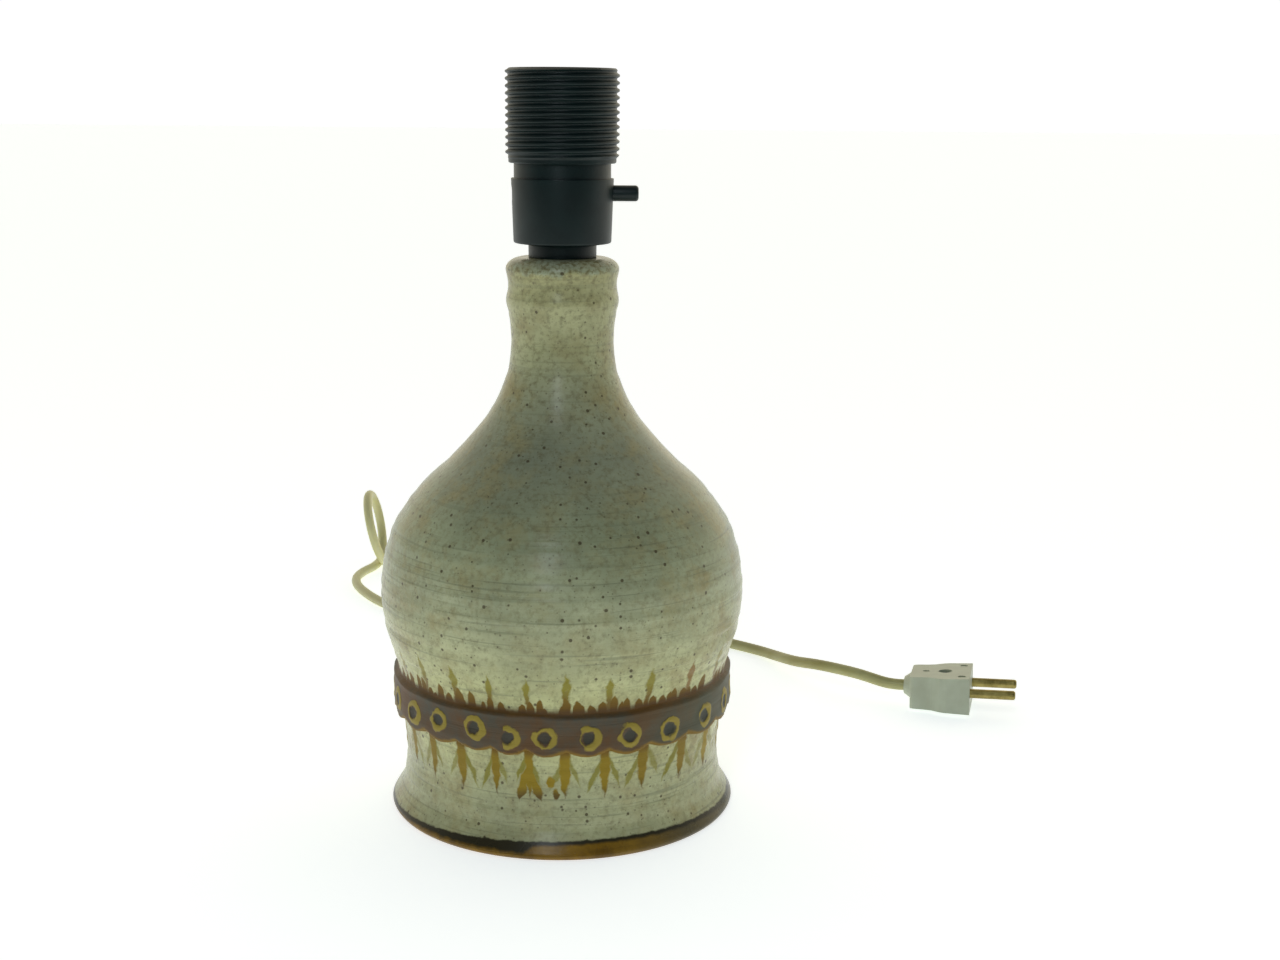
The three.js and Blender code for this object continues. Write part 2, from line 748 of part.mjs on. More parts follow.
function uprightTurnPoint(share) {
  const lean = THREE.MathUtils.degToRad(footTurnLean);
  const up = aside.clone().multiplyScalar(-Math.sin(lean)).add(new THREE.Vector3(0, 0, Math.cos(lean)));
  const angle = 2 * Math.PI * share;
  return new THREE.Vector3(footTurnX, footTurnY, cordRadius)
    .addScaledVector(ahead, cordBendRadius * Math.sin(angle))
    .addScaledVector(up, cordBendRadius * (1 - Math.cos(angle)))
    .addScaledVector(aside, pitch * (share - 1 / 2));
}

// The coil winds in on the table and out again on top, and climbs in the half turn where it reverses
function coilPoint(turn) {
  const start = THREE.MathUtils.degToRad(coilStartAngle);
  const angle = start - 2 * Math.PI * turn;
  const half = coilTurns / 2;
  const fromMiddle = turn - half;
  const climb = 1 / 4;
  let radius;
  let layer;
  if (Math.abs(fromMiddle) > climb) {
    radius = coilOuterRadius - pitch * (half - Math.abs(fromMiddle));
    layer = fromMiddle < 0 ? 0 : 1;
  } else {
    const share = fromMiddle / climb;
    radius = coilOuterRadius - pitch * (half - climb) - (pitch * climb * (1 - share * share)) / 2;
    layer = THREE.MathUtils.smoothstep(share, -1, 1);
  }
  const x = radius * Math.cos(angle);
  const y = radius * Math.sin(angle);
  const tieDirection = THREE.MathUtils.degToRad(tieAngle);
  const towardsTie = x * Math.cos(tieDirection) + y * Math.sin(tieDirection);
  const lift = tieLift * (1 + towardsTie / coilOuterRadius) / 2;
  return new THREE.Vector3(coilX + x, coilY + y, cordRadius + lift + layer * (coilLayers - 1) * pitch);
}

// Straight on from the coil's end by one diameter, and the same before its start
function coilEnd(turn, away) {
  const step = 1 / loopSteps / 4;
  const tip = coilPoint(turn);
  const inner = coilPoint(turn - away * step);
  return tip.clone().addScaledVector(tip.clone().sub(inner).normalize(), cordDiameter);
}

function coilRoute() {
  const count = Math.round(coilTurns * loopSteps);
  const points = [];
  for (let i = 0; i <= count; i += 1) points.push(coilPoint((coilTurns * i) / count));
  return [coilEnd(0, -1), ...points, coilEnd(coilTurns, 1)];
}

const coilPoints = coilRoute();
const coilIn = coilPoints[0];
const coilOut = coilPoints[coilPoints.length - 1];

// The way that the flex runs between two neighbouring points of a route
function direction(from, to) {
  return to.clone().sub(from).normalize();
}

const fromFootRoute = [
  [0, flangeFace, outletHeight],
  [0, (flangeFace + tailTip) / 2, outletHeight],
  [0, tailTip, outletHeight],
  [0, tailTip + cordDiameter * 2, outletHeight - 1.2],
  [1, 107, 10],
  [3, 124, 4.8],
  [3, 141, 2.6],
  [-2, 157, 2.4],
  [-13, 173, 2.4],
  [-29, 189, 2.4],
  [-47, 206, 2.4],
  [-66, 223, 2.4],
  [-81, 236, 2.4],
  [-93, 251, 2.4],
  [-103.2, 269, 2.4],
  [-109.9, 286.5, 2.4],
  [-111.6, 300.5, 2.4],
  [-109.3, 312.5, 2.4],
  [-105.2, 322.8, 2.4],
];

const toPlugRoute = [
  [-22, 361.5, 8.4],
  [-14, 348, 6.8],
  [-5, 331, 3.8],
  [3, 312, 2.5],
  [10, 292, 2.4],
  [18, 270, 2.4],
  [27, 249, 2.4],
  [38, 228, 2.4],
  [51, 208, 2.4],
  [61.6, 195.3, 2.4],
  [72.1, 185.3, 2.4],
  [82.8, 176, 2.4],
  [93, 165.8, 2.6],
  [99.8, 151.6, 4.4],
  [106.3, 135.8, 7],
  [115.6, 120.6, 10],
  [129.8, 107, 10.5],
  [141.3, 101.3, 8.3],
];

// The plug lies on its underside, which tapers, so its pins point up a little
const plugPitch = Math.atan((plugBaseHeight - plugBaseTail) / plugLength);
const plugTurn = new THREE.Euler(
  THREE.MathUtils.degToRad(plugRoll), -plugPitch, THREE.MathUtils.degToRad(plugYaw), "ZYX",
);
const plugFeet = [[0, plugWidth, plugBaseHeight], [-plugLength, plugTailWidth, plugBaseTail]]
  .flatMap(([x, width, drop]) => [1, -1].map((side) => new THREE.Vector3(x, (side * width) / 2, -drop)));
const plugLift = -Math.min(...plugFeet.map((corner) => corner.applyEuler(plugTurn).z));
const plugPlace = new THREE.Vector3(plugX, plugY, plugLift);
const plugAxis = new THREE.Vector3(1, 0, 0).applyEuler(plugTurn);
const plugEntryX = -plugLength - plugNose + cordGripLength / 2;
const plugEntry = plugPlace.clone().addScaledVector(plugAxis, plugEntryX);

function lengthOf(points) {
  return smooth(points).getLength();
}

function makeFreeCord() {
  const turnCount = loopSteps;
  const turn = [];
  for (let i = 0; i <= turnCount; i += 1) turn.push(uprightTurnPoint(i / turnCount));
  const turnStart = turn[0];
  const turnEnd = turn[turn.length - 1];
  const leadEnd = turnStart.clone().addScaledVector(ahead, -gap);
  const lead = [
    ...fromFootRoute.map((p) => new THREE.Vector3(...p)),
    leadEnd.clone().addScaledVector(ahead, -cordRadius),
    leadEnd,
  ];
  const towardsCoil = direction(coilIn, coilPoints[1]);
  const joinEnd = coilIn.clone().addScaledVector(towardsCoil, -gap);
  const upright = [...turn, turnEnd.clone().lerp(joinEnd, 1 / 2), joinEnd];
  const awayFromCoil = direction(coilPoints[coilPoints.length - 2], coilOut);
  const tailStart = coilOut.clone().addScaledVector(awayFromCoil, gap);
  const tail = [
    tailStart,
    tailStart.clone().addScaledVector(awayFromCoil, cordDiameter),
    ...toPlugRoute.map((p) => new THREE.Vector3(...p)),
    plugEntry.clone().addScaledVector(plugAxis, -cordGripLength / 2 - cordDiameter * 2 / 3),
    plugEntry.clone().addScaledVector(plugAxis, -cordGripLength / 2),
    plugEntry,
  ];
  add("cord_from_foot", tube(smooth(lead), cordRadius, tubeSides, 30), flexPvc);
  add("cord_upright_turn", tube(smooth(upright), cordRadius, tubeSides, 26), flexPvc);
  const coilSteps = coilPoints.length - 1;
  add("cord_coil", tube(smooth(coilPoints), cordRadius, loopSides, coilSteps), flexPvc);
  add("cord_to_plug", tube(smooth(tail), cordRadius, tubeSides, 34), flexPvc);
  const stretches = [lead, upright, coilPoints, tail].map(lengthOf);
  console.log("flex outside the lamp, mm:", stretches.map((l) => l.toFixed(1)).join(" + "),
    "=", stretches.reduce((a, b) => a + b).toFixed(1));
  reportLeastGap("coil", coilPoints);
  reportLeastGap("whole flex", [...lead, ...upright, ...coilPoints, ...tail]);
}

// Prints the least gap of the flex to itself, between points more than a third of a turn apart
function reportLeastGap(label, points) {
  const line = smooth(points).getSpacedPoints(points.length * 4);
  const step = line[0].distanceTo(line[1]);
  const apart = Math.ceil((2 * Math.PI * cordBendRadius) / 3 / step);
  let least = Infinity;
  for (let i = 0; i < line.length; i += 1) {
    for (let j = i + apart; j < line.length; j += 1) least = Math.min(least, line[i].distanceTo(line[j]));
  }
  console.log(`least gap of the ${label} to itself, mm:`, (least - cordDiameter).toFixed(2));
}

// A band round the bundle of turns holds the coil
function makeTie() {
  const inner = coilOuterRadius - pitch * (coilTurns / 2 - 1 / 4) - (pitch / 8) - cordRadius - gap;
  const outer = coilOuterRadius + cordRadius + gap;
  const top = tieLift + (coilLayers - 1) * pitch + cordDiameter + gap;
  const corner = cordRadius;
  const frame = (grow) => {
    const shape = new THREE.Shape();
    const [x0, x1, y0, y1] = [inner - grow, outer + grow, tieThickness - grow, top + grow];
    const r = corner + grow;
    shape.moveTo(x0 + r, y0);
    shape.lineTo(x1 - r, y0);
    shape.quadraticCurveTo(x1, y0, x1, y0 + r);
    shape.lineTo(x1, y1 - r);
    shape.quadraticCurveTo(x1, y1, x1 - r, y1);
    shape.lineTo(x0 + r, y1);
    shape.quadraticCurveTo(x0, y1, x0, y1 - r);
    shape.lineTo(x0, y0 + r);
    shape.quadraticCurveTo(x0, y0, x0 + r, y0);
    return shape;
  };
  const band = frame(tieThickness);
  band.holes.push(frame(0));
  const settings = { depth: tieWidth, bevelEnabled: false, steps: 1, curveSegments: 4 };
  const tie = new THREE.ExtrudeGeometry(band, settings)
    .translate(0, 0, -tieWidth / 2)
    .rotateX(Math.PI / 2)
    .rotateZ(THREE.MathUtils.degToRad(tieAngle))
    .translate(coilX, coilY, 0);
  add("coil_tie", tie, tieMaterial);
}

// The plug is made with its pins along +X from x = 0, then turned and laid in its place
function makePlug() {
  const group = new THREE.Group();
  group.position.copy(plugPlace);
  group.rotation.copy(plugTurn);
  lamp.add(group);

  const plan = new THREE.Shape();
  const [front, tail] = [plugWidth / 2, plugTailWidth / 2];
  const middle = (plugFlareFrom + plugFlareTo) / 2;
  plan.moveTo(0, -front);
  plan.lineTo(0, front);
  plan.lineTo(-plugFlareFrom, front);
  plan.bezierCurveTo(-middle, front, -middle, tail, -plugFlareTo, tail);
  plan.lineTo(-plugLength + plugCorner, tail);
  plan.quadraticCurveTo(-plugLength, tail, -plugLength, tail - plugCorner);
  plan.lineTo(-plugLength, -tail + plugCorner);
  plan.quadraticCurveTo(-plugLength, -tail, -plugLength + plugCorner, -tail);
  plan.lineTo(-plugFlareTo, -tail);
  plan.bezierCurveTo(-middle, -tail, -middle, -front, -plugFlareFrom, -front);
  plan.closePath();
  const side = new THREE.Shape();
  side.moveTo(overrun, -plugBaseHeight);
  side.lineTo(overrun, plugCoverHeight);
  side.lineTo(0, plugCoverHeight);
  side.lineTo(-plugLength, plugCoverTail);
  side.lineTo(-plugLength - overrun, plugCoverTail);
  side.lineTo(-plugLength - overrun, -plugBaseTail);
  side.lineTo(-plugLength, -plugBaseTail);
  side.lineTo(0, -plugBaseHeight);
  side.closePath();
  const depth = plugBaseHeight + plugCoverHeight;
  const block = new THREE.ExtrudeGeometry(plan, { depth, bevelEnabled: false, curveSegments: 4 })
    .translate(0, 0, -plugBaseHeight);
  const wedge = new THREE.ExtrudeGeometry(side, { depth: plugWidth + overrun, bevelEnabled: false })
    .rotateX(Math.PI / 2)
    .translate(0, (plugWidth + overrun) / 2, 0);
  const nose = new THREE.CylinderGeometry(plugNoseTip / 2, plugNoseWidth / 2, plugNose + overrun, rodSegments)
    .rotateZ(Math.PI / 2)
    .scale(1, plugNoseHeight / plugNoseWidth, 1)
    .rotateX(Math.PI / 2)
    .translate(-plugLength - (plugNose - overrun) / 2, 0, 0);
  let shell = toSolid(block).intersect(toSolid(wedge)).add(toSolid(nose));

  for (const sign of [-1, 1]) {
    const bore = rod(pinRadius + gap, 2 * (pinInside + gap)).rotateY(Math.PI / 2)
      .translate(0, (sign * pinSpacing) / 2, 0);
    shell = shell.subtract(toSolid(bore));
  }
  const cordBore = rod(cordRadius + gap, 2 * (cordGripLength / 2 + plugNose)).rotateY(Math.PI / 2)
    .translate(plugEntryX - cordGripLength / 2 - plugNose + gap, 0, 0);
  shell = shell.subtract(toSolid(cordBore));

  const reach = 2 * (plugLength + plugNose);
  const below = new THREE.BoxGeometry(2 * reach, reach, reach).translate(0, 0, -reach / 2);
  const above = new THREE.BoxGeometry(2 * reach, reach, reach).translate(0, 0, reach / 2);
  const faceAt = (x) => plugCoverHeight + ((plugCoverHeight - plugCoverTail) * x) / plugLength;
  const headTop = faceAt(plugScrewX) - plugScrewSink;
  const headBottom = headTop - plugScrewHeadHeight;
  const screwBottom = -plugBaseTail / 2;
  const headWay = rod(plugScrewHead + gap, plugCoverHeight)
    .translate(plugScrewX, 0, headBottom + plugCoverHeight / 2);
  const shankWay = rod(plugScrewRadius + gap, 2 * (gap - screwBottom)).translate(plugScrewX, 0, 0);
  const shankTop = rod(plugScrewRadius + gap, plugCoverHeight).translate(plugScrewX, 0, plugCoverHeight / 2);
  const dimples = [-1, 1].map((sign) => rod(dimpleRadius, 2 * dimpleDepth)
    .translate(-dimpleInset, (sign * pinSpacing) / 2, faceAt(-dimpleInset)));
  const mark = rod(markRadius, 2 * dimpleDepth).translate(markX, 0, faceAt(markX));
  const cover = toGeometry(shell.intersect(toSolid(above)));
  const base = toGeometry(shell.intersect(toSolid(below)));
  add("plug_base", cut(base, shankWay), whitePlastic, group);
  add("plug_cover", cut(cover, headWay, shankTop, mark, ...dimples), whitePlastic, group);

  const head = rod(plugScrewHead, plugScrewHeadHeight).translate(plugScrewX, 0, headTop - plugScrewHeadHeight / 2);
  const shankLength = headBottom - screwBottom + plugScrewHeadHeight / 2;
  const shank = rod(plugScrewRadius, shankLength).translate(plugScrewX, 0, screwBottom + shankLength / 2);
  const slot = new THREE.BoxGeometry(2 * plugScrewHead + overrun, slotWidth, 2 * slotDepth)
    .translate(plugScrewX, 0, headTop);
  add("plug_screw", cut(join(head, shank), slot), steel, group);

  for (const [name, sign] of [["far", 1], ["near", -1]]) {
    const tip = pinShown - pinTipRound;
    const pin = turned([
      [0, -pinInside],
      [pinRadius, -pinInside],
      ...quarterArc([pinRadius - pinTipRound, tip], [pinTipRound, pinTipRound], 0, 90, 3),
      [0, pinShown],
    ], smallSegments).rotateY(Math.PI / 2).translate(0, (sign * pinSpacing) / 2, 0);
    add(`plug_pin_${name}`, pin, brass, group);
  }
}

makeBase();
makeNeckFixing();
makeHolderCap();
makeBarrel();
makeContacts();
makeSwitch();
makeBushing();
makeInnerCord();
makeFreeCord();
makeTie();
makePlug();

export default lamp;
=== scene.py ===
"""Thrown stoneware table lamp with a threaded lamp holder, a push-rod switch and a flex with a two-pin plug.

Sizes are in millimetres and become metres where a mesh or curve is made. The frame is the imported
model's: +Z up, the origin under the centre of the foot, the switch rod towards +X, the flex at +Y.
"""

import math

import bpy
import numpy as np
from mathutils import Matrix, Vector


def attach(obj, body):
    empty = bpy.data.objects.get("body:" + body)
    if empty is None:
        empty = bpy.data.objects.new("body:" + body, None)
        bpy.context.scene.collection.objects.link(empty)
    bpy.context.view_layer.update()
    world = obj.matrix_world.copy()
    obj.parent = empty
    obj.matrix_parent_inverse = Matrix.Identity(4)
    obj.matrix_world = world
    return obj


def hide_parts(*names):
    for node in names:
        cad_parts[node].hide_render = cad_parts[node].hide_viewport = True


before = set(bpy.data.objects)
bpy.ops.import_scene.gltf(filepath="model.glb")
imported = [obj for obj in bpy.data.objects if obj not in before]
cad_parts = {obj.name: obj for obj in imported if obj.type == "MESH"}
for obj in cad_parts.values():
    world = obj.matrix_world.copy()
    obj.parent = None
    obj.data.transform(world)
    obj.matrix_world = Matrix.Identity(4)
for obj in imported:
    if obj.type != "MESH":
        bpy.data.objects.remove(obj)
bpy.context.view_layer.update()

MM = 0.001
TURN = 2 * math.pi


# Colours and nodes

def linear(colour):
    """The linear colour, with alpha, of an sRGB hex value such as #b7c0a1."""
    parts = [int(colour[i : i + 2], 16) / 255 for i in (1, 3, 5)]
    return (*[c / 12.92 if c <= 0.04045 else ((c + 0.055) / 1.055) ** 2.4 for c in parts], 1.0)


def node_adder(tree):
    """Clears a node tree and gives the function that adds a node to it."""
    tree.nodes.clear()

    def put(kind, inputs=(), operation=None, out=0, **settings):
        """Adds a shader node, feeds its inputs by name or in their order, and gives back an output.

        The order of a MapRange is value, from min, from max, to min, to max, and that of a MixRGB
        is factor, first colour, second colour.
        """
        made = tree.nodes.new("ShaderNode" + kind)
        if operation:
            made.operation = operation
        for name, value in settings.items():
            setattr(made, name, value)
        for key, value in inputs.items() if isinstance(inputs, dict) else enumerate(inputs):
            if isinstance(value, bpy.types.NodeSocket):
                tree.links.new(value, made.inputs[key])
            else:
                made.inputs[key].default_value = value
        return made.outputs[out] if len(made.outputs) else made

    return put


def new_material(name):
    """A material, and the function that adds nodes to it."""
    made = bpy.data.materials.new(name)
    made.use_nodes = True
    return made, node_adder(made.node_tree)


def millimetres(put):
    """Places on the piece in millimetres, in the lamp's own frame."""
    place = put("TexCoord", out="Object")
    return put("VectorMath", {0: place, "Scale": 1 / MM}, "SCALE")


def patches(put, place, scale, detail, span=(0.0, 1.0), to=(0.0, 1.0), roughness=0.5):
    """Cloudy patches about 1 / scale mm across: the noise values in span, spread over the range to."""
    noise = put("TexNoise", {
        "Vector": place, "Scale": scale, "Detail": detail, "Roughness": roughness,
    }, out="Fac")
    return put("MapRange", (noise, *span, *to))


def fine_relief(put, place, scale, detail, strength, depth):
    """A fine uneven surface with features about 1 / scale mm across and a depth in millimetres."""
    noise = put("TexNoise", {"Vector": place, "Scale": scale, "Detail": detail}, out="Fac")
    return put("Bump", {"Height": noise, "Strength": strength, "Distance": depth * MM}, out="Normal")


def fill_ramp(node, stops):
    """Gives a colour ramp its stops, from pairs of a place from 0 to 1 and a colour."""
    ramp = node.color_ramp
    while len(ramp.elements) < len(stops):
        ramp.elements.new(0.5)
    for element, (at, colour) in zip(ramp.elements, stops):
        element.position = at
        element.color = linear(colour)


def fill_curve(node, knots):
    """Gives a Float Curve node straight stretches between the knots."""
    curve = node.mapping.curves[0]
    knots = [(min(max(x, 0), 1), min(max(y, 0), 1)) for x, y in knots]
    while len(curve.points) < len(knots):
        curve.points.new(0.5, 0.5)
    for point, place in zip(curve.points, knots):
        point.location = place
        point.handle_type = "VECTOR"
    node.mapping.update()


# Finishes, by the record's material slots

# Painted light: the flex is painted paler from here to there behind the lamp, where more light falls on it,
# in millimetres along Y
PAINTED_LIGHT_ON_FLEX = (190.0, 320.0)


def make_pvc(name, colour, deep, kept=None):
    """Plasticised PVC, extruded: satin, with a faintly uneven skin that went deeper in colour in patches.

    Kept is the paler colour painted on the end that lies coiled up behind the lamp: painted light, for the
    stronger light that falls on the flex there.
    """
    material, put = new_material(name)
    place = millimetres(put)
    shade = put("MixRGB", (patches(put, place, 0.05, 3.0, (0.35, 0.65)), linear(colour), linear(deep)))
    # Painted light: where kept is given, the flex turns to the paler colour towards the back, where more
    # light falls on it
    if kept:
        behind = put("SeparateXYZ", {"Vector": place}).node.outputs["Y"]
        shade = put("MixRGB", (put("MapRange", (behind, *PAINTED_LIGHT_ON_FLEX)), shade, linear(kept)))
    shader = put("BsdfPrincipled", {
        "Base Color": shade, "Roughness": patches(put, place, 0.9, 4.0, to=(0.36, 0.52)),
        "Normal": fine_relief(put, place, 2.4, 2.0, 0.12, 0.1), "IOR": 1.53,
        "Subsurface Weight": 0.25, "Subsurface Radius": (1.0, 0.9, 0.5), "Subsurface Scale": 0.0025,
    })
    put("OutputMaterial", {"Surface": shader})
    return material


def make_moulded(name, colour, worn, roughness, grain, depth):
    """A moulded plastic with a fine spark-eroded grain, and a little wear that makes patches glossier.

    The grain's width is drawn at about half a millimetre, coarser than the real one, so that it shows.
    """
    material, put = new_material(name)
    place = millimetres(put)
    shade = put("MixRGB", (patches(put, place, 0.12, 4.0, (0.35, 0.7)), linear(colour), linear(worn)))
    put("OutputMaterial", {"Surface": put("BsdfPrincipled", {
        "Base Color": shade,
        "Roughness": patches(put, place, 0.12, 4.0, to=(roughness + 0.06, roughness - 0.06)),
        "Normal": fine_relief(put, place, 1 / grain, 2.0, 0.25, depth),
        "IOR": 1.5, "Specular IOR Level": 0.35,
    })})
    return material


def make_metal(name, colour, dull, roughness, mark_width):
    """A metal with the fine marks of its turning or drawing, a little dulled in patches.

    The marks are drawn about a third of a millimetre wide, coarser than real ones, so that they show.
    """
    material, put = new_material(name)
    place = millimetres(put)
    cloudy = 0.65
    dulled = patches(put, place, 0.25, 5.0, (0.4, 0.7), roughness=cloudy)
    rough = patches(put, place, 0.25, 5.0, to=(roughness - 0.05, roughness + 0.15), roughness=cloudy)
    put("OutputMaterial", {"Surface": put("BsdfPrincipled", {
        "Base Color": put("MixRGB", (dulled, linear(colour), linear(dull))), "Metallic": 1.0,
        "Roughness": rough, "Normal": fine_relief(put, place, 1 / mark_width, 1.0, 0.12, 0.05),
    })})
    return material


FINISH = {
    "flex_pvc": make_pvc("yellowed PVC sheath", "#b0ae7a", "#9c965b", kept="#dad7a2"),
    "live_pvc": make_pvc("brown PVC core", "#6e4528", "#5d3a22"),
    "neutral_pvc": make_pvc("blue PVC core", "#3a6ea0", "#315f8d"),
    # The black plastic is its own black, with a blue-green tint painted in as a painted reflection of the
    # cool light in front
    "black_thermoplastic": make_moulded("black moulded thermoplastic", "#051918", "#0c2120", 0.42, 0.5, 0.03),
    "brown_phenolic": make_moulded("brown phenolic moulding", "#4a3122", "#3a261b", 0.45, 0.6, 0.03),
    "plug_plastic": make_moulded("white moulded thermoplastic", "#b8c0ab", "#acb29c", 0.38, 0.6, 0.02),
    "tie_plastic": make_moulded("pale nylon strap", "#dddbcd", "#cfccba", 0.45, 0.4, 0.02),
    "brass": make_metal("drawn brass", "#a3955a", "#6e6436", 0.3, 0.35),
    "steel": make_metal("zinc-plated steel", "#b9bcbd", "#8d9092", 0.3, 0.3),
}


# Shapes shared by the pieces

# Edges that turn by more than this many degrees stay sharp on the turned and moulded pieces
SHARP_EDGE = 35


def mesh_piece(name, points, faces, slot, replaces, body="lamp", angle=None):
    """A piece from points in millimetres, in a slot's finish, that stands for a CAD node on its body.

    Edges sharper than the angle, in degrees, stay sharp. Without one the whole piece is smooth.
    """
    mesh = bpy.data.meshes.new(name)
    mesh.from_pydata((np.asarray(points, float) * MM).tolist(), [], [list(map(int, f)) for f in faces])
    mesh.validate()
    piece = bpy.data.objects.new(name, mesh)
    bpy.context.scene.collection.objects.link(piece)
    mesh.materials.append(FINISH[slot])
    if angle is None:
        mesh.polygons.foreach_set("use_smooth", [True] * len(mesh.polygons))
    else:
        mesh.shade_smooth()
        mesh.set_sharp_from_angle(angle=math.radians(angle))
    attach(piece, body)
    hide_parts(replaces)
    return piece


def rounded(corners, radius, steps=4):
    """A closed outline with its corners rounded; a corner may give its own radius as a third number."""
    done = []
    count = len(corners)
    for i, corner in enumerate(corners):
        here = np.array(corner[:2], float)
        before = np.array(corners[i - 1][:2], float) - here
        after = np.array(corners[(i + 1) % count][:2], float) - here
        reach = corner[2] if len(corner) > 2 else radius
        reach = min(reach, 0.45 * np.linalg.norm(before), 0.45 * np.linalg.norm(after))
        start = here + before / np.linalg.norm(before) * reach
        end = here + after / np.linalg.norm(after) * reach
        for t in np.linspace(0, 1, steps + 1):
            done.append(tuple((1 - t) ** 2 * start + 2 * t * (1 - t) * here + t**2 * end))
    return done


def grid_faces(rows, columns):
    """Quads of a grid that closes on itself both ways."""
    i, j = np.meshgrid(np.arange(rows), np.arange(columns), indexing="ij")
    up, on = (i + 1) % rows, (j + 1) % columns
    quads = np.stack([i * columns + j, i * columns + on, up * columns + on, up * columns + j], axis=-1)
    return quads.reshape(-1, 4)


def revolve(outline, segments, radius_at=None):
    """Points and faces of a closed outline of (radius, height) turned round Z."""
    rows = np.array(outline, float)
    angles = np.arange(segments) * TURN / segments
    radii = np.repeat(rows[:, :1], segments, axis=1)
    heights = np.repeat(rows[:, 1:2], segments, axis=1)
    if radius_at is not None:
        radii = radius_at(radii, heights, np.broadcast_to(angles, radii.shape))
    points = np.stack([radii * np.cos(angles), radii * np.sin(angles), heights], axis=-1)
    return points.reshape(-1, 3), grid_faces(len(rows), segments)


def revolve_on_axis(outline, segments):
    """Points and faces of an outline that starts and ends on the axis, turned round Z."""
    rings, faces = revolve(outline[1:-1], segments)
    points = np.vstack([rings, [[0, 0, outline[0][1]], [0, 0, outline[-1][1]]]])
    first, last = len(rings), len(rings) + 1
    top = len(rings) - segments
    faces = faces[:top].tolist()
    for j in range(segments):
        faces.append([first, (j + 1) % segments, j])
        faces.append([last, top + j, top + (j + 1) % segments])
    return points, faces


def smoothstep(low, high, value):
    t = np.clip((value - low) / (high - low), 0, 1)
    return t * t * (3 - 2 * t)


def cut_with(piece, cutters):
    """Cuts the pieces in cutters out of piece for good, and removes them."""
    for cutter in cutters:
        cut = piece.modifiers.new("cut", "BOOLEAN")
        cut.operation = "DIFFERENCE"
        cut.solver = "EXACT"
        cut.object = cutter
    bpy.context.view_layer.update()
    evaluated = piece.evaluated_get(bpy.context.evaluated_depsgraph_get())
    made = bpy.data.meshes.new_from_object(evaluated)
    piece.modifiers.clear()
    old, piece.data = piece.data, made
    bpy.data.meshes.remove(old)
    for cutter in cutters:
        bpy.data.objects.remove(cutter)


def drill(radius, start, end, segments=64):
    """A loose cylinder between two points in millimetres, to cut with."""
    start, end = np.array(start, float), np.array(end, float)
    along = (end - start) / np.linalg.norm(end - start)
    side = np.cross(along, [0, 0, 1])
    side /= np.linalg.norm(side)
    other = np.cross(along, side)
    angles = np.arange(segments) * TURN / segments
    ring = radius * (np.outer(np.cos(angles), side) + np.outer(np.sin(angles), other))
    points = np.vstack([start + ring, end + ring]) * MM
    faces = [[j, (j + 1) % segments, segments + (j + 1) % segments, segments + j] for j in range(segments)]
    faces.append(list(range(segments))[::-1])
    faces.append(list(range(segments, 2 * segments)))
    mesh = bpy.data.meshes.new("drill")
    mesh.from_pydata(points.tolist(), [], faces)
    piece = bpy.data.objects.new("drill", mesh)
    bpy.context.scene.collection.objects.link(piece)
    return piece


# Camera

PICTURE_WIDTH = 1280
FOCAL_PIXELS = 1750
CAMERA_PLACE = (0.0, -624.0, 253.8)
PITCH_DOWN, YAW_RIGHT, ROLL = (math.radians(a) for a in (12.04, 2.59, 0.52))


def make_camera():
    ahead = np.array([
        math.sin(YAW_RIGHT) * math.cos(PITCH_DOWN),
        math.cos(YAW_RIGHT) * math.cos(PITCH_DOWN),
        -math.sin(PITCH_DOWN),
    ])
    right = np.array([math.cos(YAW_RIGHT), -math.sin(YAW_RIGHT), 0.0])
    up = np.cross(right, ahead)
    rolled_right = math.cos(ROLL) * right + math.sin(ROLL) * up
    rolled_up = math.cos(ROLL) * up - math.sin(ROLL) * right
    data = bpy.data.cameras.new("camera")
    data.sensor_width = 36.0
    data.lens = FOCAL_PIXELS * data.sensor_width / PICTURE_WIDTH
    data.clip_start, data.clip_end = 0.01, 100.0
    camera = bpy.data.objects.new("camera", data)
    pose = Matrix([[*row] for row in np.column_stack([rolled_right, rolled_up, -ahead])]).to_4x4()
    pose.translation = [v * MM for v in CAMERA_PLACE]
    camera.matrix_world = pose
    bpy.context.scene.collection.objects.link(camera)
    bpy.context.scene.camera = camera


make_camera()


# Flex. Its route repeats the one of the solids: out of the foot, round a wide bend, up through one
# upright turn, through the tied coil and on to the plug.

FLEX_DIAMETER = 4.8
FLEX_RADIUS = FLEX_DIAMETER / 2
TURN_GAP = 0.6
PITCH = FLEX_DIAMETER + TURN_GAP
BEND_RADIUS = 19.3
GAP = 0.3

OUTLET_HEIGHT = 16.0
OUTLET_FACE = 57.781
FLANGE = 1.8
TAIL = 22.0
FLANGE_FACE = OUTLET_FACE + GAP + FLANGE
TAIL_TIP = FLANGE_FACE + TAIL

COIL_TURNS = 5.385
COIL_RADIUS = 35.2
COIL_START = math.radians(175)
COIL_CENTRE = np.array([-59.4, 358.0])
# The coil turns back on itself in its middle, within this many turns either way
COIL_CLIMB = 0.25
TIE_ANGLE = math.radians(120)
TIE_THICKNESS = 0.9
TIE_LIFT = TIE_THICKNESS + GAP
LOOP_STEPS = 24

FOOT_TURN = np.array([-100.2, 335.3, FLEX_RADIUS])
FOOT_TURN_LEAN = math.radians(11.8)
FOOT_TURN_HEADING = math.radians(3.9)
FLEX_AHEAD = np.array([math.sin(FOOT_TURN_HEADING), math.cos(FOOT_TURN_HEADING), 0.0])
FLEX_ASIDE = np.array([math.cos(FOOT_TURN_HEADING), -math.sin(FOOT_TURN_HEADING), 0.0])

# The plug lies a little tilted on the table: its face, its tilt and the place where the flex goes in
PLUG_FACE = np.array([176.6, 90.95, 9.165])
PLUG_YAW = math.radians(-16)
PLUG_PITCH = math.atan2(0.95, 25.6)
PLUG_ENTRY = 24.1
CORD_GRIP = 9.0

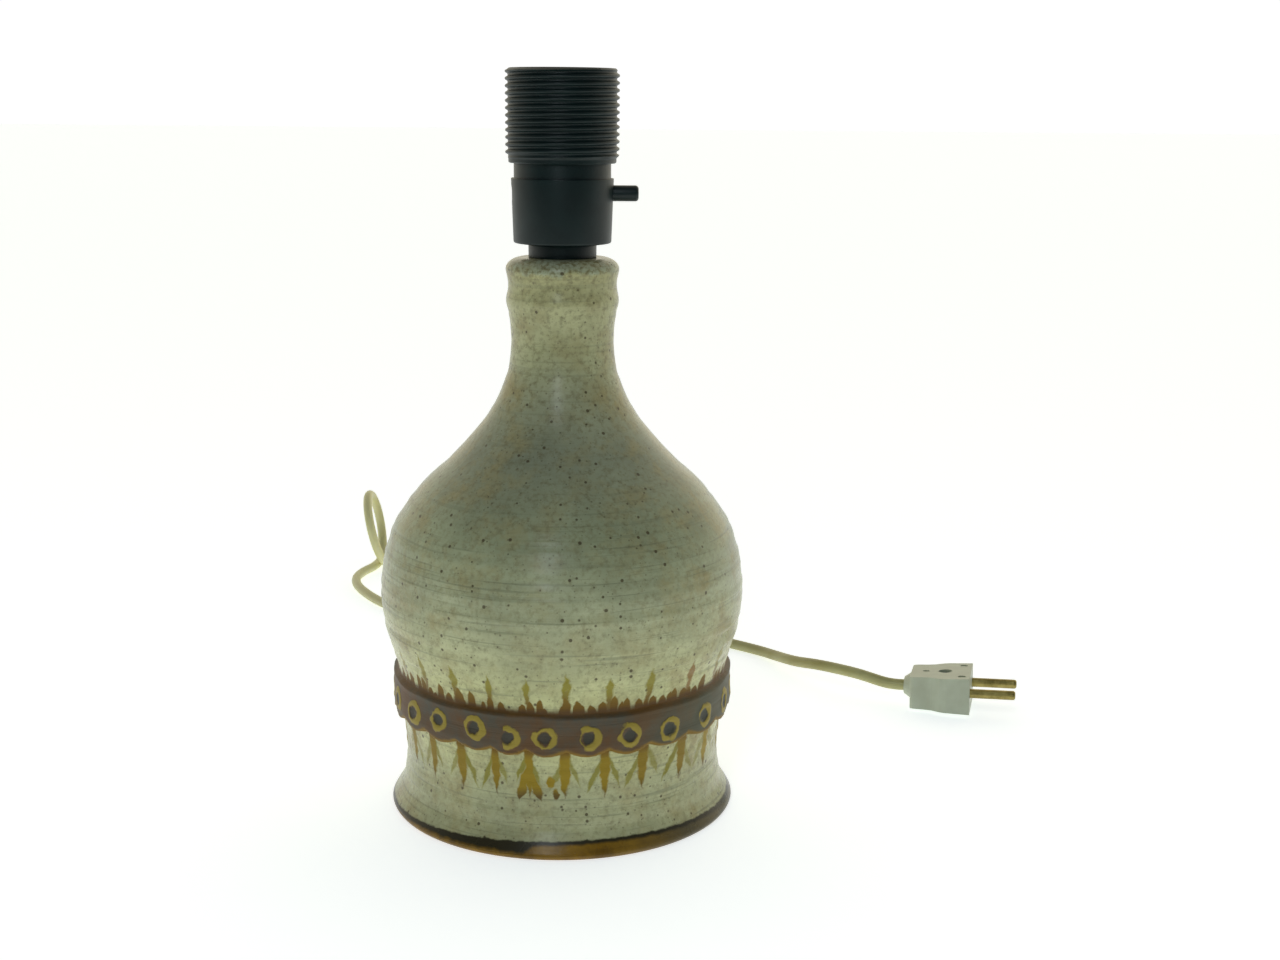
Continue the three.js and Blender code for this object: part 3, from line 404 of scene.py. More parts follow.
FROM_FOOT = [
    (0, FLANGE_FACE, OUTLET_HEIGHT), (0, (FLANGE_FACE + TAIL_TIP) / 2, OUTLET_HEIGHT),
    (0, TAIL_TIP, OUTLET_HEIGHT), (0, TAIL_TIP + 2 * FLEX_DIAMETER, OUTLET_HEIGHT - 1.2),
    (1, 107, 10), (3, 124, 4.8), (3, 141, 2.6), (-2, 157, 2.4), (-13, 173, 2.4), (-29, 189, 2.4),
    (-47, 206, 2.4), (-66, 223, 2.4), (-81, 236, 2.4), (-93, 251, 2.4), (-103.2, 269, 2.4),
    (-109.9, 286.5, 2.4), (-111.6, 300.5, 2.4), (-109.3, 312.5, 2.4), (-105.2, 322.8, 2.4),
]
TO_PLUG = [
    (-22, 361.5, 8.4), (-14, 348, 6.8), (-5, 331, 3.8), (3, 312, 2.5), (10, 292, 2.4),
    (18, 270, 2.4), (27, 249, 2.4), (38, 228, 2.4), (51, 208, 2.4), (61.6, 195.3, 2.4),
    (72.1, 185.3, 2.4), (82.8, 176, 2.4), (93, 165.8, 2.6), (99.8, 151.6, 4.4),
    (106.3, 135.8, 7), (115.6, 120.6, 10), (129.8, 107, 10.5), (141.3, 101.3, 8.3),
]


def hermite(t, start, end, leave, arrive):
    """A point of a cubic stretch between two values, with its slopes at both."""
    return (
        (2 * t**3 - 3 * t**2 + 1) * start + (t**3 - 2 * t**2 + t) * leave
        + (3 * t**2 - 2 * t**3) * end + (t**3 - t**2) * arrive
    )


def smooth_line(knots, steps):
    """Points along a centripetal Catmull-Rom curve through the knots, steps to each stretch."""
    knots = np.array(knots, float)
    whole = np.vstack([2 * knots[0] - knots[1], knots, 2 * knots[-1] - knots[-2]])
    line = []
    for i in range(1, len(whole) - 2):
        p0, p1, p2, p3 = whole[i - 1 : i + 3]
        d0, d1, d2 = (math.sqrt(np.linalg.norm(b - a)) for a, b in ((p0, p1), (p1, p2), (p2, p3)))
        leave = ((p1 - p0) / d0 - (p2 - p0) / (d0 + d1) + (p2 - p1) / d1) * d1
        arrive = ((p2 - p1) / d1 - (p3 - p1) / (d1 + d2) + (p3 - p2) / d2) * d1
        line += [hermite(t, p1, p2, leave, arrive) for t in np.arange(steps) / steps]
    line.append(whole[-2])
    return np.array(line)


def upright_turn_point(share):
    """A point of the turn that stands upright beside the coil."""
    up = -math.sin(FOOT_TURN_LEAN) * FLEX_ASIDE + np.array([0, 0, math.cos(FOOT_TURN_LEAN)])
    angle = TURN * share
    return (
        FOOT_TURN
        + FLEX_AHEAD * BEND_RADIUS * math.sin(angle)
        + up * BEND_RADIUS * (1 - math.cos(angle))
        + FLEX_ASIDE * PITCH * (share - 0.5)
    )


def coil_point(turn):
    """The coil winds in on the table and out again on top, and climbs where it reverses."""
    angle = COIL_START - TURN * turn
    half = COIL_TURNS / 2
    from_middle = turn - half
    if abs(from_middle) > COIL_CLIMB:
        radius = COIL_RADIUS - PITCH * (half - abs(from_middle))
        layer = 0.0 if from_middle < 0 else 1.0
    else:
        share = from_middle / COIL_CLIMB
        radius = COIL_RADIUS - PITCH * (half - COIL_CLIMB) - PITCH * COIL_CLIMB * (1 - share**2) / 2
        layer = float(smoothstep(-1, 1, share))
    x, y = radius * math.cos(angle), radius * math.sin(angle)
    towards_tie = x * math.cos(TIE_ANGLE) + y * math.sin(TIE_ANGLE)
    lift = TIE_LIFT * (1 + towards_tie / COIL_RADIUS) / 2
    return np.array([COIL_CENTRE[0] + x, COIL_CENTRE[1] + y, FLEX_RADIUS + lift + layer * PITCH])


def coil_end(turn, away):
    tip = coil_point(turn)
    inner = coil_point(turn - away / LOOP_STEPS / 4)
    return tip + FLEX_DIAMETER * (tip - inner) / np.linalg.norm(tip - inner)


def flex_knots():
    """The knots of the whole flex, from the bushing's flange into the plug."""
    turn = [upright_turn_point(i / LOOP_STEPS) for i in range(LOOP_STEPS + 1)]
    count = round(COIL_TURNS * LOOP_STEPS)
    coil = [coil_end(0, -1)]
    coil += [coil_point(COIL_TURNS * i / count) for i in range(count + 1)]
    coil += [coil_end(COIL_TURNS, 1)]
    away = (coil[-1] - coil[-2]) / np.linalg.norm(coil[-1] - coil[-2])
    axis = np.array([
        math.cos(PLUG_YAW) * math.cos(PLUG_PITCH), math.sin(PLUG_YAW) * math.cos(PLUG_PITCH),
        math.sin(PLUG_PITCH),
    ])
    entry = PLUG_FACE - axis * PLUG_ENTRY
    before_turn = turn[0] - FLEX_AHEAD * (GAP + FLEX_RADIUS)
    return [
        *FROM_FOOT, before_turn,
        *turn, (turn[-1] + coil[0]) / 2,
        *coil, coil[-1] + away * FLEX_DIAMETER,
        *TO_PLUG,
        entry - axis * (CORD_GRIP / 2 + FLEX_DIAMETER * 2 / 3), entry - axis * CORD_GRIP / 2, entry,
    ]


def make_flex():
    """The whole flex as one curve with a round bevel."""
    line = smooth_line(flex_knots(), 4)
    curve = bpy.data.curves.new("flex", "CURVE")
    curve.dimensions = "3D"
    curve.bevel_depth = FLEX_RADIUS * MM
    curve.bevel_resolution = 5
    curve.use_fill_caps = True
    spline = curve.splines.new("POLY")
    spline.points.add(len(line) - 1)
    spline.points.foreach_set("co", np.column_stack([line * MM, np.ones(len(line))]).ravel())
    spline.use_smooth = True
    curve.materials.append(FINISH["flex_pvc"])
    piece = bpy.data.objects.new("flex", curve)
    bpy.context.scene.collection.objects.link(piece)
    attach(piece, "lamp")
    return piece


flex = make_flex()
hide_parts("cord_from_foot", "cord_upright_turn", "cord_coil", "cord_to_plug")


# Stoneware base: its outline repeats the stations of the solids, each a (radius, height)

FOOT = (63.5, 2.0)
FOOT_ROUNDING = 2.0
WAIST = (57.8, 21.5)
UNDER_BAND = (59.3, 38.0)
GROOVE = (60.8, 54.5)
BELLY = (66.2, 82.0)
NECK = (18.3, 172.0)
RIDGE = (20.1, 186.5)
RIDGE_SKIRT = 4.5
RIM_GROOVE = (19.3, 191.8)
RIM = (20.2, 197.3)
RIM_FLAT = 14.2
POT_HEIGHT = 201.5
FLARE_SHARES = [(0.1, 0.8), (0.21, 0.55), (0.33, 0.33), (0.52, 0.14), (0.76, 0.03)]
RISE_SHARES = [(0.2, 0.28), (0.5, 0.72), (0.77, 0.94)]
SHOULDER_SHARES = [
    (0.12, 0.975), (0.25, 0.9), (0.34, 0.795), (0.43, 0.655), (0.52, 0.47),
    (0.61, 0.315), (0.7, 0.18), (0.8, 0.08), (0.9, 0.018),
]
WALL = 6.0
TOP_PLATE = 7.0
NIPPLE_HOLE = 5.5
# The bore follows the wall up to this share of the height under the top plate
BORE_TOP = 0.74
# Radii of the flat seat for the bushing's flange and of the hole for its stem
FLANGE_SEAT = 6.9
FLEX_HOLE = 4.6

BAND_RADIUS = 62.6
BAND_TOP = 52.2
LOBE_BOTTOM = 36.3
NOTCH_RISE = 2.2
RING_HEIGHT = 44.0
# The painted hoop's least radius and how much it varies, and the radius where its pit starts to fade
HOOP_RADIUS, HOOP_VARIES, PIT_RADIUS = 3.2, 0.4, 1.8

# Where the rings of the pattern sit round the pot, in degrees from the front towards the switch.
# They were set by hand and by eye, so they are uneven; those at the back are evenly spread.
FRONT_RINGS = [-72.0, -57.5, -44.2, -29.0, -17.5, -5.8, 8.2, 21.5, 36.5, 53.3, 70.0]
FRONT_LIFTS = [0.0, -0.1, 0.9, 1.6, -0.3, 0.3, 0.1, -0.1, -0.9, -0.3, -0.4]
OPEN_RING = FRONT_RINGS[4]
RINGS = 25
CELL_WIDTH = TURN * BAND_RADIUS / RINGS

# Strokes of slip in rows, one stroke between every two rings, in millimetres. Vary is how much their
# lengths differ, belly the share of the length where they are widest, lean their slope, and blunt
# how round their ends are.
DRIP = dict(start=38.6, length=17.9, vary=0.1, foot_width=4.6, width=3.7, belly=0.45, blunt=3.0)
# The one drip that is forked, in degrees from the front, and its two side strokes
FORKED_DRIP = -11.5
TINE = dict(start=32.0, length=12.2, vary=0.0, foot_width=2.4, width=4.2, belly=0.75, blunt=3.0)
TINE_LEANS = (-0.48, 0.36)
REED = dict(start=37.5, length=14.0, vary=0.4, foot_width=1.2, belly=0.6)
REED_LEANS_AND_WIDTHS = [(0.5, 2.6), (-0.46, 2.3)]
LEAF = dict(start=BAND_TOP, length=14.3, vary=0.25, foot_width=1.1, width=2.8, belly=0.68, upward=True)
# Two loose dabs of slip: angle from the front, height, width and length
DABS = [(-4.2, 27.0, 2.9, 4.2), (-2.4, 22.4, 2.3, 4.6)]
# Teeth of oxide over the band: how many to a ring, where they start, height, width and share kept
TEETH = [(3.4, 0.0, 5.8, 3.6, 0.85), (5.0, 0.4, 3.6, 2.6, 0.4)]

# Glaze colours by height in millimetres: cream above and below the band, grey-green on the shoulder
GLAZE_BY_HEIGHT = [
    (0, "#aeb18a"), (24, "#b3b68b"), (33, "#c4c693"), (40, "#c6c893"), (58, "#c8ca94"), (72, "#bcbf93"),
    (90, "#b0b692"), (112, "#9ea785"), (135, "#929980"), (155, "#a2a685"), (172, "#b5b78a"),
    (190, "#b8b889"), (196.3, "#b5b380"), (197.6, "#a7ae8d"), (201, "#a8af92"),
]


def ring_angles():
    """Degrees from the front of every ring, and of the first one again."""
    back = RINGS - len(FRONT_RINGS) + 1
    step = (360 + FRONT_RINGS[0] - FRONT_RINGS[-1]) / back
    return np.array(FRONT_RINGS + [FRONT_RINGS[-1] + step * (i + 1) for i in range(back)])


RING_ANGLES = ring_angles()
BACK_LIFTS = np.random.default_rng(7).uniform(-0.7, 0.7, RINGS - len(FRONT_LIFTS)).round(1)
RING_LIFTS = [*FRONT_LIFTS, *map(float, BACK_LIFTS)]


def ring_lift(front_angle):
    """How far above the others the ring nearest to an angle sits, in millimetres."""
    apart = [abs((front_angle - a + 180) % 360 - 180) for a in RING_ANGLES[:RINGS]]
    return RING_LIFTS[int(np.argmin(apart))]


def ring_places():
    """(degrees from the front, number) of each ring from the back round, with one more at each end."""
    wrapped = sorted(float((a + 180) % 360 - 180) for a in RING_ANGLES[:RINGS])
    numbered = list(zip(wrapped, map(float, range(RINGS))))
    return [(wrapped[-1] - 360, -1.0), *numbered, (wrapped[0] + 360, float(RINGS))]


RING_PLACES = ring_places()


def cell_at(front_angle):
    """Which ring an angle lies at, counted from the back round."""
    return float(np.interp(front_angle, *zip(*RING_PLACES)))


def cell_of(front_angle):
    """Which ring an angle lies at, counted from the first of FRONT_RINGS."""
    wrapped = (front_angle - RING_ANGLES[0]) % 360 + RING_ANGLES[0]
    return np.interp(wrapped, RING_ANGLES, np.arange(RINGS + 1))


def monotone(x_knots, y_knots, x):
    """Monotone cubic interpolation, so that the outline has no bumps between its stations."""
    h, d = np.diff(x_knots), np.diff(y_knots) / np.diff(x_knots)
    slope = np.zeros(len(x_knots))
    for i in range(1, len(x_knots) - 1):
        if d[i - 1] * d[i] > 0:
            w1, w2 = 2 * h[i] + h[i - 1], h[i] + 2 * h[i - 1]
            slope[i] = (w1 + w2) / (w1 / d[i - 1] + w2 / d[i])
    slope[0], slope[-1] = d[0], d[-1]
    k = np.clip(np.searchsorted(x_knots, x, side="right") - 1, 0, len(h) - 1)
    t = (x - x_knots[k]) / h[k]
    return hermite(t, y_knots[k], y_knots[k + 1], h[k] * slope[k], h[k] * slope[k + 1])


def pot_stations():
    """(height, radius) of the outline from the foot's flare up to the rim."""
    def between(low, high, shares):
        """Stations at shares of the height and of the radius from low to high."""
        return [(low[1] + (high[1] - low[1]) * up, low[0] + (high[0] - low[0]) * out) for up, out in shares]

    flare = between(WAIST, FOOT, [(1 - up, out) for up, out in FLARE_SHARES])
    rise = between(GROOVE, BELLY, RISE_SHARES)
    shoulder = [(BELLY[1] + (NECK[1] - BELLY[1]) * up, NECK[0] + (BELLY[0] - NECK[0]) * out)
                for up, out in SHOULDER_SHARES]
    single = [(p[1], p[0]) for p in (FOOT, WAIST, UNDER_BAND, GROOVE, BELLY, NECK, RIDGE, RIM_GROOVE, RIM)]
    skirt = [(RIDGE[1] - RIDGE_SKIRT, (NECK[0] + RIDGE[0]) / 2)]
    return np.array(sorted(single + flare + rise + shoulder + skirt))


STATIONS = pot_stations()


def pot_radius(z):
    return monotone(STATIONS[:, 0], STATIONS[:, 1], z)


def throwing(z, angle):
    """Low ridges that the thrower's fingers leave, in millimetres."""
    waves = [
        (5.6, 0.3, 1, 0.4, 1.0), (3.7, 1.9, 2, 1.3, 0.7), (8.9, 4.0, 1, 2.2, 0.9),
        (2.6, 2.7, 3, 5.1, 0.35), (13.0, 0.9, 1, 3.3, 0.8),
    ]
    total = np.zeros_like(z)
    for length, phase, count, shift, size in waves:
        total += size * np.sin(TURN * z / length + phase + 0.8 * np.sin(count * angle + shift))
    strong = smoothstep(54, 60, z) * (1 - smoothstep(108, 135, z))
    strong += smoothstep(6, 14, z) * (1 - smoothstep(30, 37, z))
    faint = smoothstep(4, 8, z) * (1 - smoothstep(185, 199, z))
    return total * (0.03 * faint + 0.05 * strong)


def pot_surface(radii, heights, angles):
    """The thrown wall with its throwing ridges and the raised, scalloped band with its stamped rings."""
    outside = radii > pot_radius(np.clip(heights, FOOT[1], RIM[1])) - 0.5
    outside &= (heights > FOOT[1]) & (heights < RIM[1])
    cell = cell_of(np.degrees(angles) + 90)
    off = (cell - np.round(cell)) * CELL_WIDTH
    wobble = 0.35 * np.sin(3 * angles + 1.0) + 0.3 * np.sin(7 * angles + 2.0) + 0.25 * np.sin(17 * angles)
    low = LOBE_BOTTOM + NOTCH_RISE * (1 - np.abs(np.cos(math.pi * cell))) + 0.5 * wobble
    high = BAND_TOP + 0.6 * wobble
    slab = smoothstep(0, 1.1, heights - low) * smoothstep(0, 1.0, high - heights)
    lump = 0.12 * np.sin(heights / 1.9 + 5 * np.sin(2 * angles)) + 0.2 * np.sin(9 * angles + 0.4)
    proud = (BAND_RADIUS + lump - 0.3 - radii) * slab
    lifts = np.array(RING_LIFTS)[np.round(cell).astype(int) % RINGS]
    distance = np.hypot(off, heights - RING_HEIGHT - lifts)
    hoop_radius, hoop_width, pit_radius = 3.1, 0.9, 2.0
    hoop = 0.3 * np.exp(-(((distance - hoop_radius) / hoop_width) ** 2))
    pit = 0.15 * np.exp(-((distance / pit_radius) ** 2))
    relief = throwing(heights, angles) + proud + (hoop - pit) * slab
    return radii + np.where(outside, relief, 0)


def pot_outline():
    """The closed outline of (radius, height), finest where the band is."""
    def arc(centre, reach, start, end, count):
        turns = np.radians(np.linspace(start, end, count))
        return [(centre[0] + reach[0] * math.cos(t), centre[1] + reach[1] * math.sin(t)) for t in turns]

    heights = np.concatenate([
        np.arange(FOOT[1] + 0.9, 34.5, 0.95), np.arange(34.5, 57.5, 0.5),
        np.arange(57.8, 118, 0.95), np.arange(119, 178, 1.3), np.arange(178.5, RIM[1] - 0.4, 0.8),
    ])
    outer = arc((FOOT[0] - FOOT_ROUNDING, FOOT[1]), (FOOT_ROUNDING, FOOT_ROUNDING), -90, 0, 7)
    outer += [(float(pot_radius(np.array(z))), float(z)) for z in heights]
    outer += arc((RIM_FLAT, RIM[1]), (RIM[0] - RIM_FLAT, POT_HEIGHT - RIM[1]), 0, 90, 14)
    plate = POT_HEIGHT - TOP_PLATE
    inner = [(NIPPLE_HOLE + 1.2, POT_HEIGHT), (NIPPLE_HOLE, POT_HEIGHT - 0.6), (NIPPLE_HOLE, plate)]
    inner += [(NECK[0] - WALL - 1, plate), (NECK[0] - WALL, plate - 1), (NECK[0] - WALL, 0.82 * plate)]
    for share in np.linspace(BORE_TOP, 0.05, 26):
        inner.append((float(pot_radius(np.array(share * plate))) - WALL, share * plate))
    inner += [(WAIST[0] - WALL, 4.0), (WAIST[0] - WALL + 0.4, 1.0), (WAIST[0] - WALL + 1.4, 0.0)]
    return outer + inner


# Glaze and painted pattern

class PatternPlace:
    """Where a point of the pot lies in its pattern. Each value is a node's output."""

    def __init__(self, put):
        self.place = millimetres(put)
        axes = put("SeparateXYZ", {"Vector": self.place}).node.outputs
        self.height = axes["Z"]
        front = put("Math", (axes["Y"], -1.0), "MULTIPLY")
        self.angle = put("Math", (axes["X"], front), "ARCTAN2")
        # What belongs to the right side alone fades out before the back
        self.before_back = put("MapRange", (self.angle, 1.7, 2.8, 1.0, 0.0))

        # Hand-drawn edges: the pattern's places are shaken by a little noise
        shake = put("TexNoise", {
            "Vector": self.place, "Scale": 0.26, "Detail": 3.0, "Roughness": 0.6,
        }, out="Color")
        shaken = put("SeparateColor", {"Color": shake}).node.outputs
        self.shake_across = put("Math", (shaken[0], 0.5), "SUBTRACT")
        self.shake_up = put("Math", (shaken[1], 0.5), "SUBTRACT")
        self.z = put("Math", (self.shake_up, 1.8, self.height), "MULTIPLY_ADD")

        # The turn round the pot, 0 to 1 from the back, is mapped to the uneven places of the rings
        turn = put("Math", (self.angle, 1 / TURN, 0.5), "MULTIPLY_ADD")
        to_cell = put("FloatCurve", {"Value": turn})
        knots = [(-180, cell_at(-180)), *[p for p in RING_PLACES if -180 < p[0] < 180], (180, cell_at(180))]
        fill_curve(to_cell.node, [((a + 180) / 360, (c + 1) / (RINGS + 2)) for a, c in knots])
        self.cell = put("Math", (to_cell, RINGS + 2.0, -1.0), "MULTIPLY_ADD")

        # Millimetres from the nearest ring's centre, along the wall and up it
        self.nearest = put("Math", (self.cell,), "ROUND")
        share = put("Math", (self.nearest, 1 / (RINGS + 2), 1 / (RINGS + 2)), "MULTIPLY_ADD")
        to_angle = put("FloatCurve", {"Value": share})
        fill_curve(to_angle.node, [((c + 1) / (RINGS + 2), (a + 360) / 720) for a, c in RING_PLACES])
        ring_angle = put("Math", (to_angle, 2 * TURN, -TURN), "MULTIPLY_ADD")
        from_ring = put("Math", (self.angle, ring_angle), "SUBTRACT")
        ring_x = put("Math", (from_ring, BAND_RADIUS), "MULTIPLY")
        self.ring_x = put("Math", (self.shake_across, 2.0, ring_x), "MULTIPLY_ADD")
        to_lift = put("FloatCurve", {"Value": share})
        fill_curve(to_lift.node, [((c + 1) / (RINGS + 2), 0.5 + ring_lift(a) / 10) for a, c in RING_PLACES])
        ring_level = put("Math", (to_lift, 10.0, RING_HEIGHT - 5.0), "MULTIPLY_ADD")
        self.ring_z = put("Math", (self.z, ring_level), "SUBTRACT")


def throw_dice(put, index, seed=None):
    """Three random numbers from 0 to 1 for a whole number, and for a seed of three numbers."""
    inputs = {"W": index, "Vector": seed} if seed else {"W": index}
    thrown = put("TexWhiteNoise", inputs, out="Color", noise_dimensions="4D" if seed else "1D")
    return put("SeparateColor", {"Color": thrown}).node.outputs


def ring_masks(put, at):
    """An ochre hoop of uneven thickness round a dark pit, and in one ring a gap in the brush stroke."""
    dice = throw_dice(put, at.nearest)
    from_centre = put("CombineXYZ", (at.ring_x, at.ring_z, 0.0))
    distance = put("VectorMath", (from_centre,), "LENGTH", out="Value")
    radius = put("Math", (dice[2], HOOP_VARIES, HOOP_RADIUS), "MULTIPLY_ADD")
    off_hoop = put("Math", (distance, radius), "SUBTRACT")
    off_hoop = put("Math", (off_hoop,), "ABSOLUTE")
    brush = patches(put, at.place, 0.26, 1.0, (0.32, 0.62), (0.4, 1.3))
    brush = put("Math", (at.ring_x, 0.08, brush), "MULTIPLY_ADD")
    hoop = put("Math", (brush, off_hoop), "SUBTRACT")
    hoop = put("MapRange", (hoop, -0.25, 0.25))
    open_ring = put("Math", (at.nearest, cell_at(OPEN_RING), 0.1), "COMPARE")
    gap = put("Math", (at.ring_x, -1.6), "LESS_THAN")
    gap = put("Math", (open_ring, gap), "MULTIPLY")
    closed = put("Math", (1.0, gap), "SUBTRACT")
    pit = put("MapRange", (distance, PIT_RADIUS, PIT_RADIUS + 0.7, 1.0, 0.0))
    return put("Math", (hoop, closed), "MULTIPLY"), pit


def band_masks(put, at):
    """The oxide band, from its lobes to its top edge, and the height over its lower edge."""
    lobe = put("Math", (at.cell, math.pi), "MULTIPLY")
    lobe = put("Math", (lobe,), "COSINE")
    lobe = put("Math", (lobe,), "ABSOLUTE")
    low = put("Math", (lobe, -NOTCH_RISE, LOBE_BOTTOM + NOTCH_RISE), "MULTIPLY_ADD")
    over_low = put("Math", (at.z, low), "SUBTRACT")
    over_edge = put("MapRange", (over_low, -0.2, 0.4))
    under_top = put("MapRange", (at.z, BAND_TOP + 0.2, BAND_TOP + 0.9, 1.0, 0.0))
    return put("Math", (over_edge, under_top), "MULTIPLY"), over_low


def row_of_marks(put, at, spot, seed, spread, spacing, shake):
    """One hand-placed mark for each whole number of spot: its number, its dice and the way across it.

    The marks are spacing mm apart. Spread is how much a mark's place varies and the middle of it.
    """
    index = put("Math", (spot,), "FLOOR")
    inside = put("Math", (spot, index), "SUBTRACT")
    dice = throw_dice(put, index, seed)
    across = put("Math", (inside, put("Math", (dice[0], *spread), "MULTIPLY_ADD")), "ADD")
    across = put("Math", (across, spacing), "MULTIPLY")
    return index, dice, put("Math", (at.shake_across, shake, across), "MULTIPLY_ADD")


def brush_strokes(put, at, start, length, vary, foot_width, width, belly, lean=0.0, upward=False,
                  only=None, blunt=1.0):
    """A row of brush strokes, one between every two rings: the mask, the share along and the dice.

    A stroke swells from its foot's width to its full width at the share belly of its length.
    """
    index, dice, across = row_of_marks(
        put, at, at.cell, (length, lean, width), (0.1, -0.55), CELL_WIDTH, shake=3.2)
    along = put("Math", (at.z, start) if upward else (start, at.z), "SUBTRACT")
    across = put("Math", (along, lean, across), "MULTIPLY_ADD")
    across = put("Math", (across,), "ABSOLUTE")
    reach = put("Math", (dice[1], vary * length, (1 - vary / 2) * length), "MULTIPLY_ADD")
    down = put("Math", (along, reach), "DIVIDE")
    swell = put("MapRange", (down, 0.0, belly, foot_width / 2, width / 2))
    late = put("Math", (down, blunt), "POWER")
    taper = put("MapRange", (late, belly**blunt, 1.0, width / 2, -0.1), interpolation_type="SMOOTHSTEP")
    half = put("Math", (swell, taper), "MINIMUM")
    mask = put("Math", (half, across), "SUBTRACT")
    mask = put("MapRange", (mask, -0.5, 0.3))
    limits = [put("MapRange", (along, -0.8, 0.2)), put("Math", (down, 1.0), "LESS_THAN")]
    if only is not None:
        limits.append(put("Math", (index, only, 0.1), "COMPARE"))
    for limit in limits:
        mask = put("Math", (mask, limit), "MULTIPLY")
    return mask, down, dice


def slip_dab(put, at, front_angle, level, wide, tall):
    """A loose dab of slip at an angle from the front and a height."""
    across = put("Math", (at.angle, -math.radians(front_angle)), "ADD")
    across = put("Math", (across, BAND_RADIUS), "MULTIPLY")
    across = put("Math", (at.shake_across, 3.0, across), "MULTIPLY_ADD")
    across = put("Math", (across, 2 / wide), "MULTIPLY")
    above = put("Math", (at.z, level), "SUBTRACT")
    above = put("Math", (above, 2 / tall), "MULTIPLY")
    spot = put("CombineXYZ", (across, above, 0.0))
    spot = put("VectorMath", (spot,), "LENGTH", out="Value")
    return put("MapRange", (spot, 0.8, 1.2, 1.0, 0.0))


def oxide_teeth(put, at, per_ring, shift, tall, wide, kept):
    """Short teeth that the band's oxide bleeds upwards, uneven in place and height."""
    spot = put("Math", (at.cell, per_ring, shift), "MULTIPLY_ADD")
    _, dice, across = row_of_marks(
        put, at, spot, (shift, tall, wide), (0.4, -0.7), CELL_WIDTH / per_ring, shake=1.8)
    across = put("Math", (across,), "ABSOLUTE")
    reach = put("Math", (dice[1], 0.7 * tall, 0.6 * tall), "MULTIPLY_ADD")
    up = put("Math", (at.z, BAND_TOP - 0.3), "SUBTRACT")
    up = put("Math", (up, reach), "DIVIDE")
    round_off = put("Math", (up, 4.0), "POWER")
    half = put("MapRange", (round_off, 0.0, 1.0, wide / 2, -0.1))
    mask = put("Math", (half, across), "SUBTRACT")
    mask = put("MapRange", (mask, -0.2, 0.35))
    limits = ((dice[2], kept, "LESS_THAN"), (up, -0.2, "GREATER_THAN"), (up, 1.0, "LESS_THAN"))
    for value, limit, side in limits:
        mask = put("Math", (mask, put("Math", (value, limit), side)), "MULTIPLY")
    return mask


def specks(put, place, spacing, smallest, largest, kept):
    """Round specks in a loose grid, with sizes and spacing in millimetres."""
    grid = put("VectorMath", {0: place, "Scale": 1 / spacing}, "SCALE")
    found = put("TexVoronoi", {"Vector": grid, "Scale": 1.0}).node.outputs
    dice = put("SeparateColor", {"Color": found["Color"]}).node.outputs
    size = put("MapRange", (dice[0], 0.0, 1.0, smallest / spacing, largest / spacing))
    inside = put("Math", (size, found["Distance"]), "SUBTRACT")
    inside = put("MapRange", (inside, -0.02, 0.22 / spacing))
    return put("Math", (inside, put("Math", (dice[1], kept), "LESS_THAN")), "MULTIPLY")


def lay_over(put, colour, layers):
    """Lays hex colours over a colour, one after the other, each as far as its mask says."""
    for mask, layer in layers:
        colour = put("MixRGB", (mask, colour, linear(layer)))
    return colour


def plain_glaze(put, at, skin):
    """The glaze before it is painted: its colour, the mask of its grooves and that of its specks."""
    level = put("Math", (at.shake_up, 7.0, at.height), "MULTIPLY_ADD")
    level = put("Math", (level, 1 / POT_HEIGHT), "MULTIPLY")
    glaze = put("ValToRGB", {"Fac": level}, out="Color")
    fill_ramp(glaze.node, [(height / POT_HEIGHT, colour) for height, colour in GLAZE_BY_HEIGHT])
    cloud = patches(put, at.place, 0.035, 5.0, (0.35, 0.65), (0.85, 1.12), roughness=0.62)
    glaze = put("VectorMath", {0: glaze, "Scale": cloud}, "SCALE")

    # Warm patches where it lies thin over the clay, weaker at the very front and back
    warm = patches(put, at.place, 0.075, 6.0, (0.46, 0.66), (0.0, 0.95), roughness=0.7)
    sideways = put("Math", (put("Math", (at.angle,), "SINE"),), "ABSOLUTE")
    warm = put("Math", (warm, put("MapRange", (sideways, 0.2, 0.8, 0.5, 1.0))), "MULTIPLY")

    # Grooves of the throwing hold more glaze: short level lines of grey-green, fainter on the shoulder,
    # where there is more brown dust instead
    shoulder = put("MapRange", (at.height, 100.0, 125.0))
    stretched = put("VectorMath", (at.place, (0.02, 0.02, 0.9)), "MULTIPLY")
    line = patches(put, stretched, 1.0, 2.0, (0.57, 0.68))
    line = put("Math", (line, put("MapRange", (shoulder, 0.0, 1.0, 0.42, 0.22))), "MULTIPLY")
    dust = patches(put, at.place, 0.5, 6.0, (0.48, 0.68), roughness=0.7)
    dust = put("Math", (dust, put("MapRange", (shoulder, 0.0, 1.0, 0.5, 0.7))), "MULTIPLY")

    # Specks of iron that bled through, and a brown mottle at the rim
    fine = put("Math", (specks(put, at.place, 1.4, 0.12, 0.42, 0.6), 0.6), "MULTIPLY")
    speck = put("Math", (specks(put, at.place, 2.9, 0.2, 0.75, 0.45), fine), "MAXIMUM")
    speck_weight = put("Math", (speck, 0.85), "MULTIPLY")
    at_rim = put("MapRange", (at.height, 193.0, 198.0, 0.0, 0.6))
    at_rim = put("Math", (at_rim, put("MapRange", (skin, 0.5, 0.62))), "MULTIPLY")
    glaze = lay_over(put, glaze, [
        (warm, "#a1986a"), (line, "#6d735a"), (dust, "#736d4c"), (speck_weight, "#4a4029"),
        (at_rim, "#66592c"),
    ])
    return glaze, line, speck


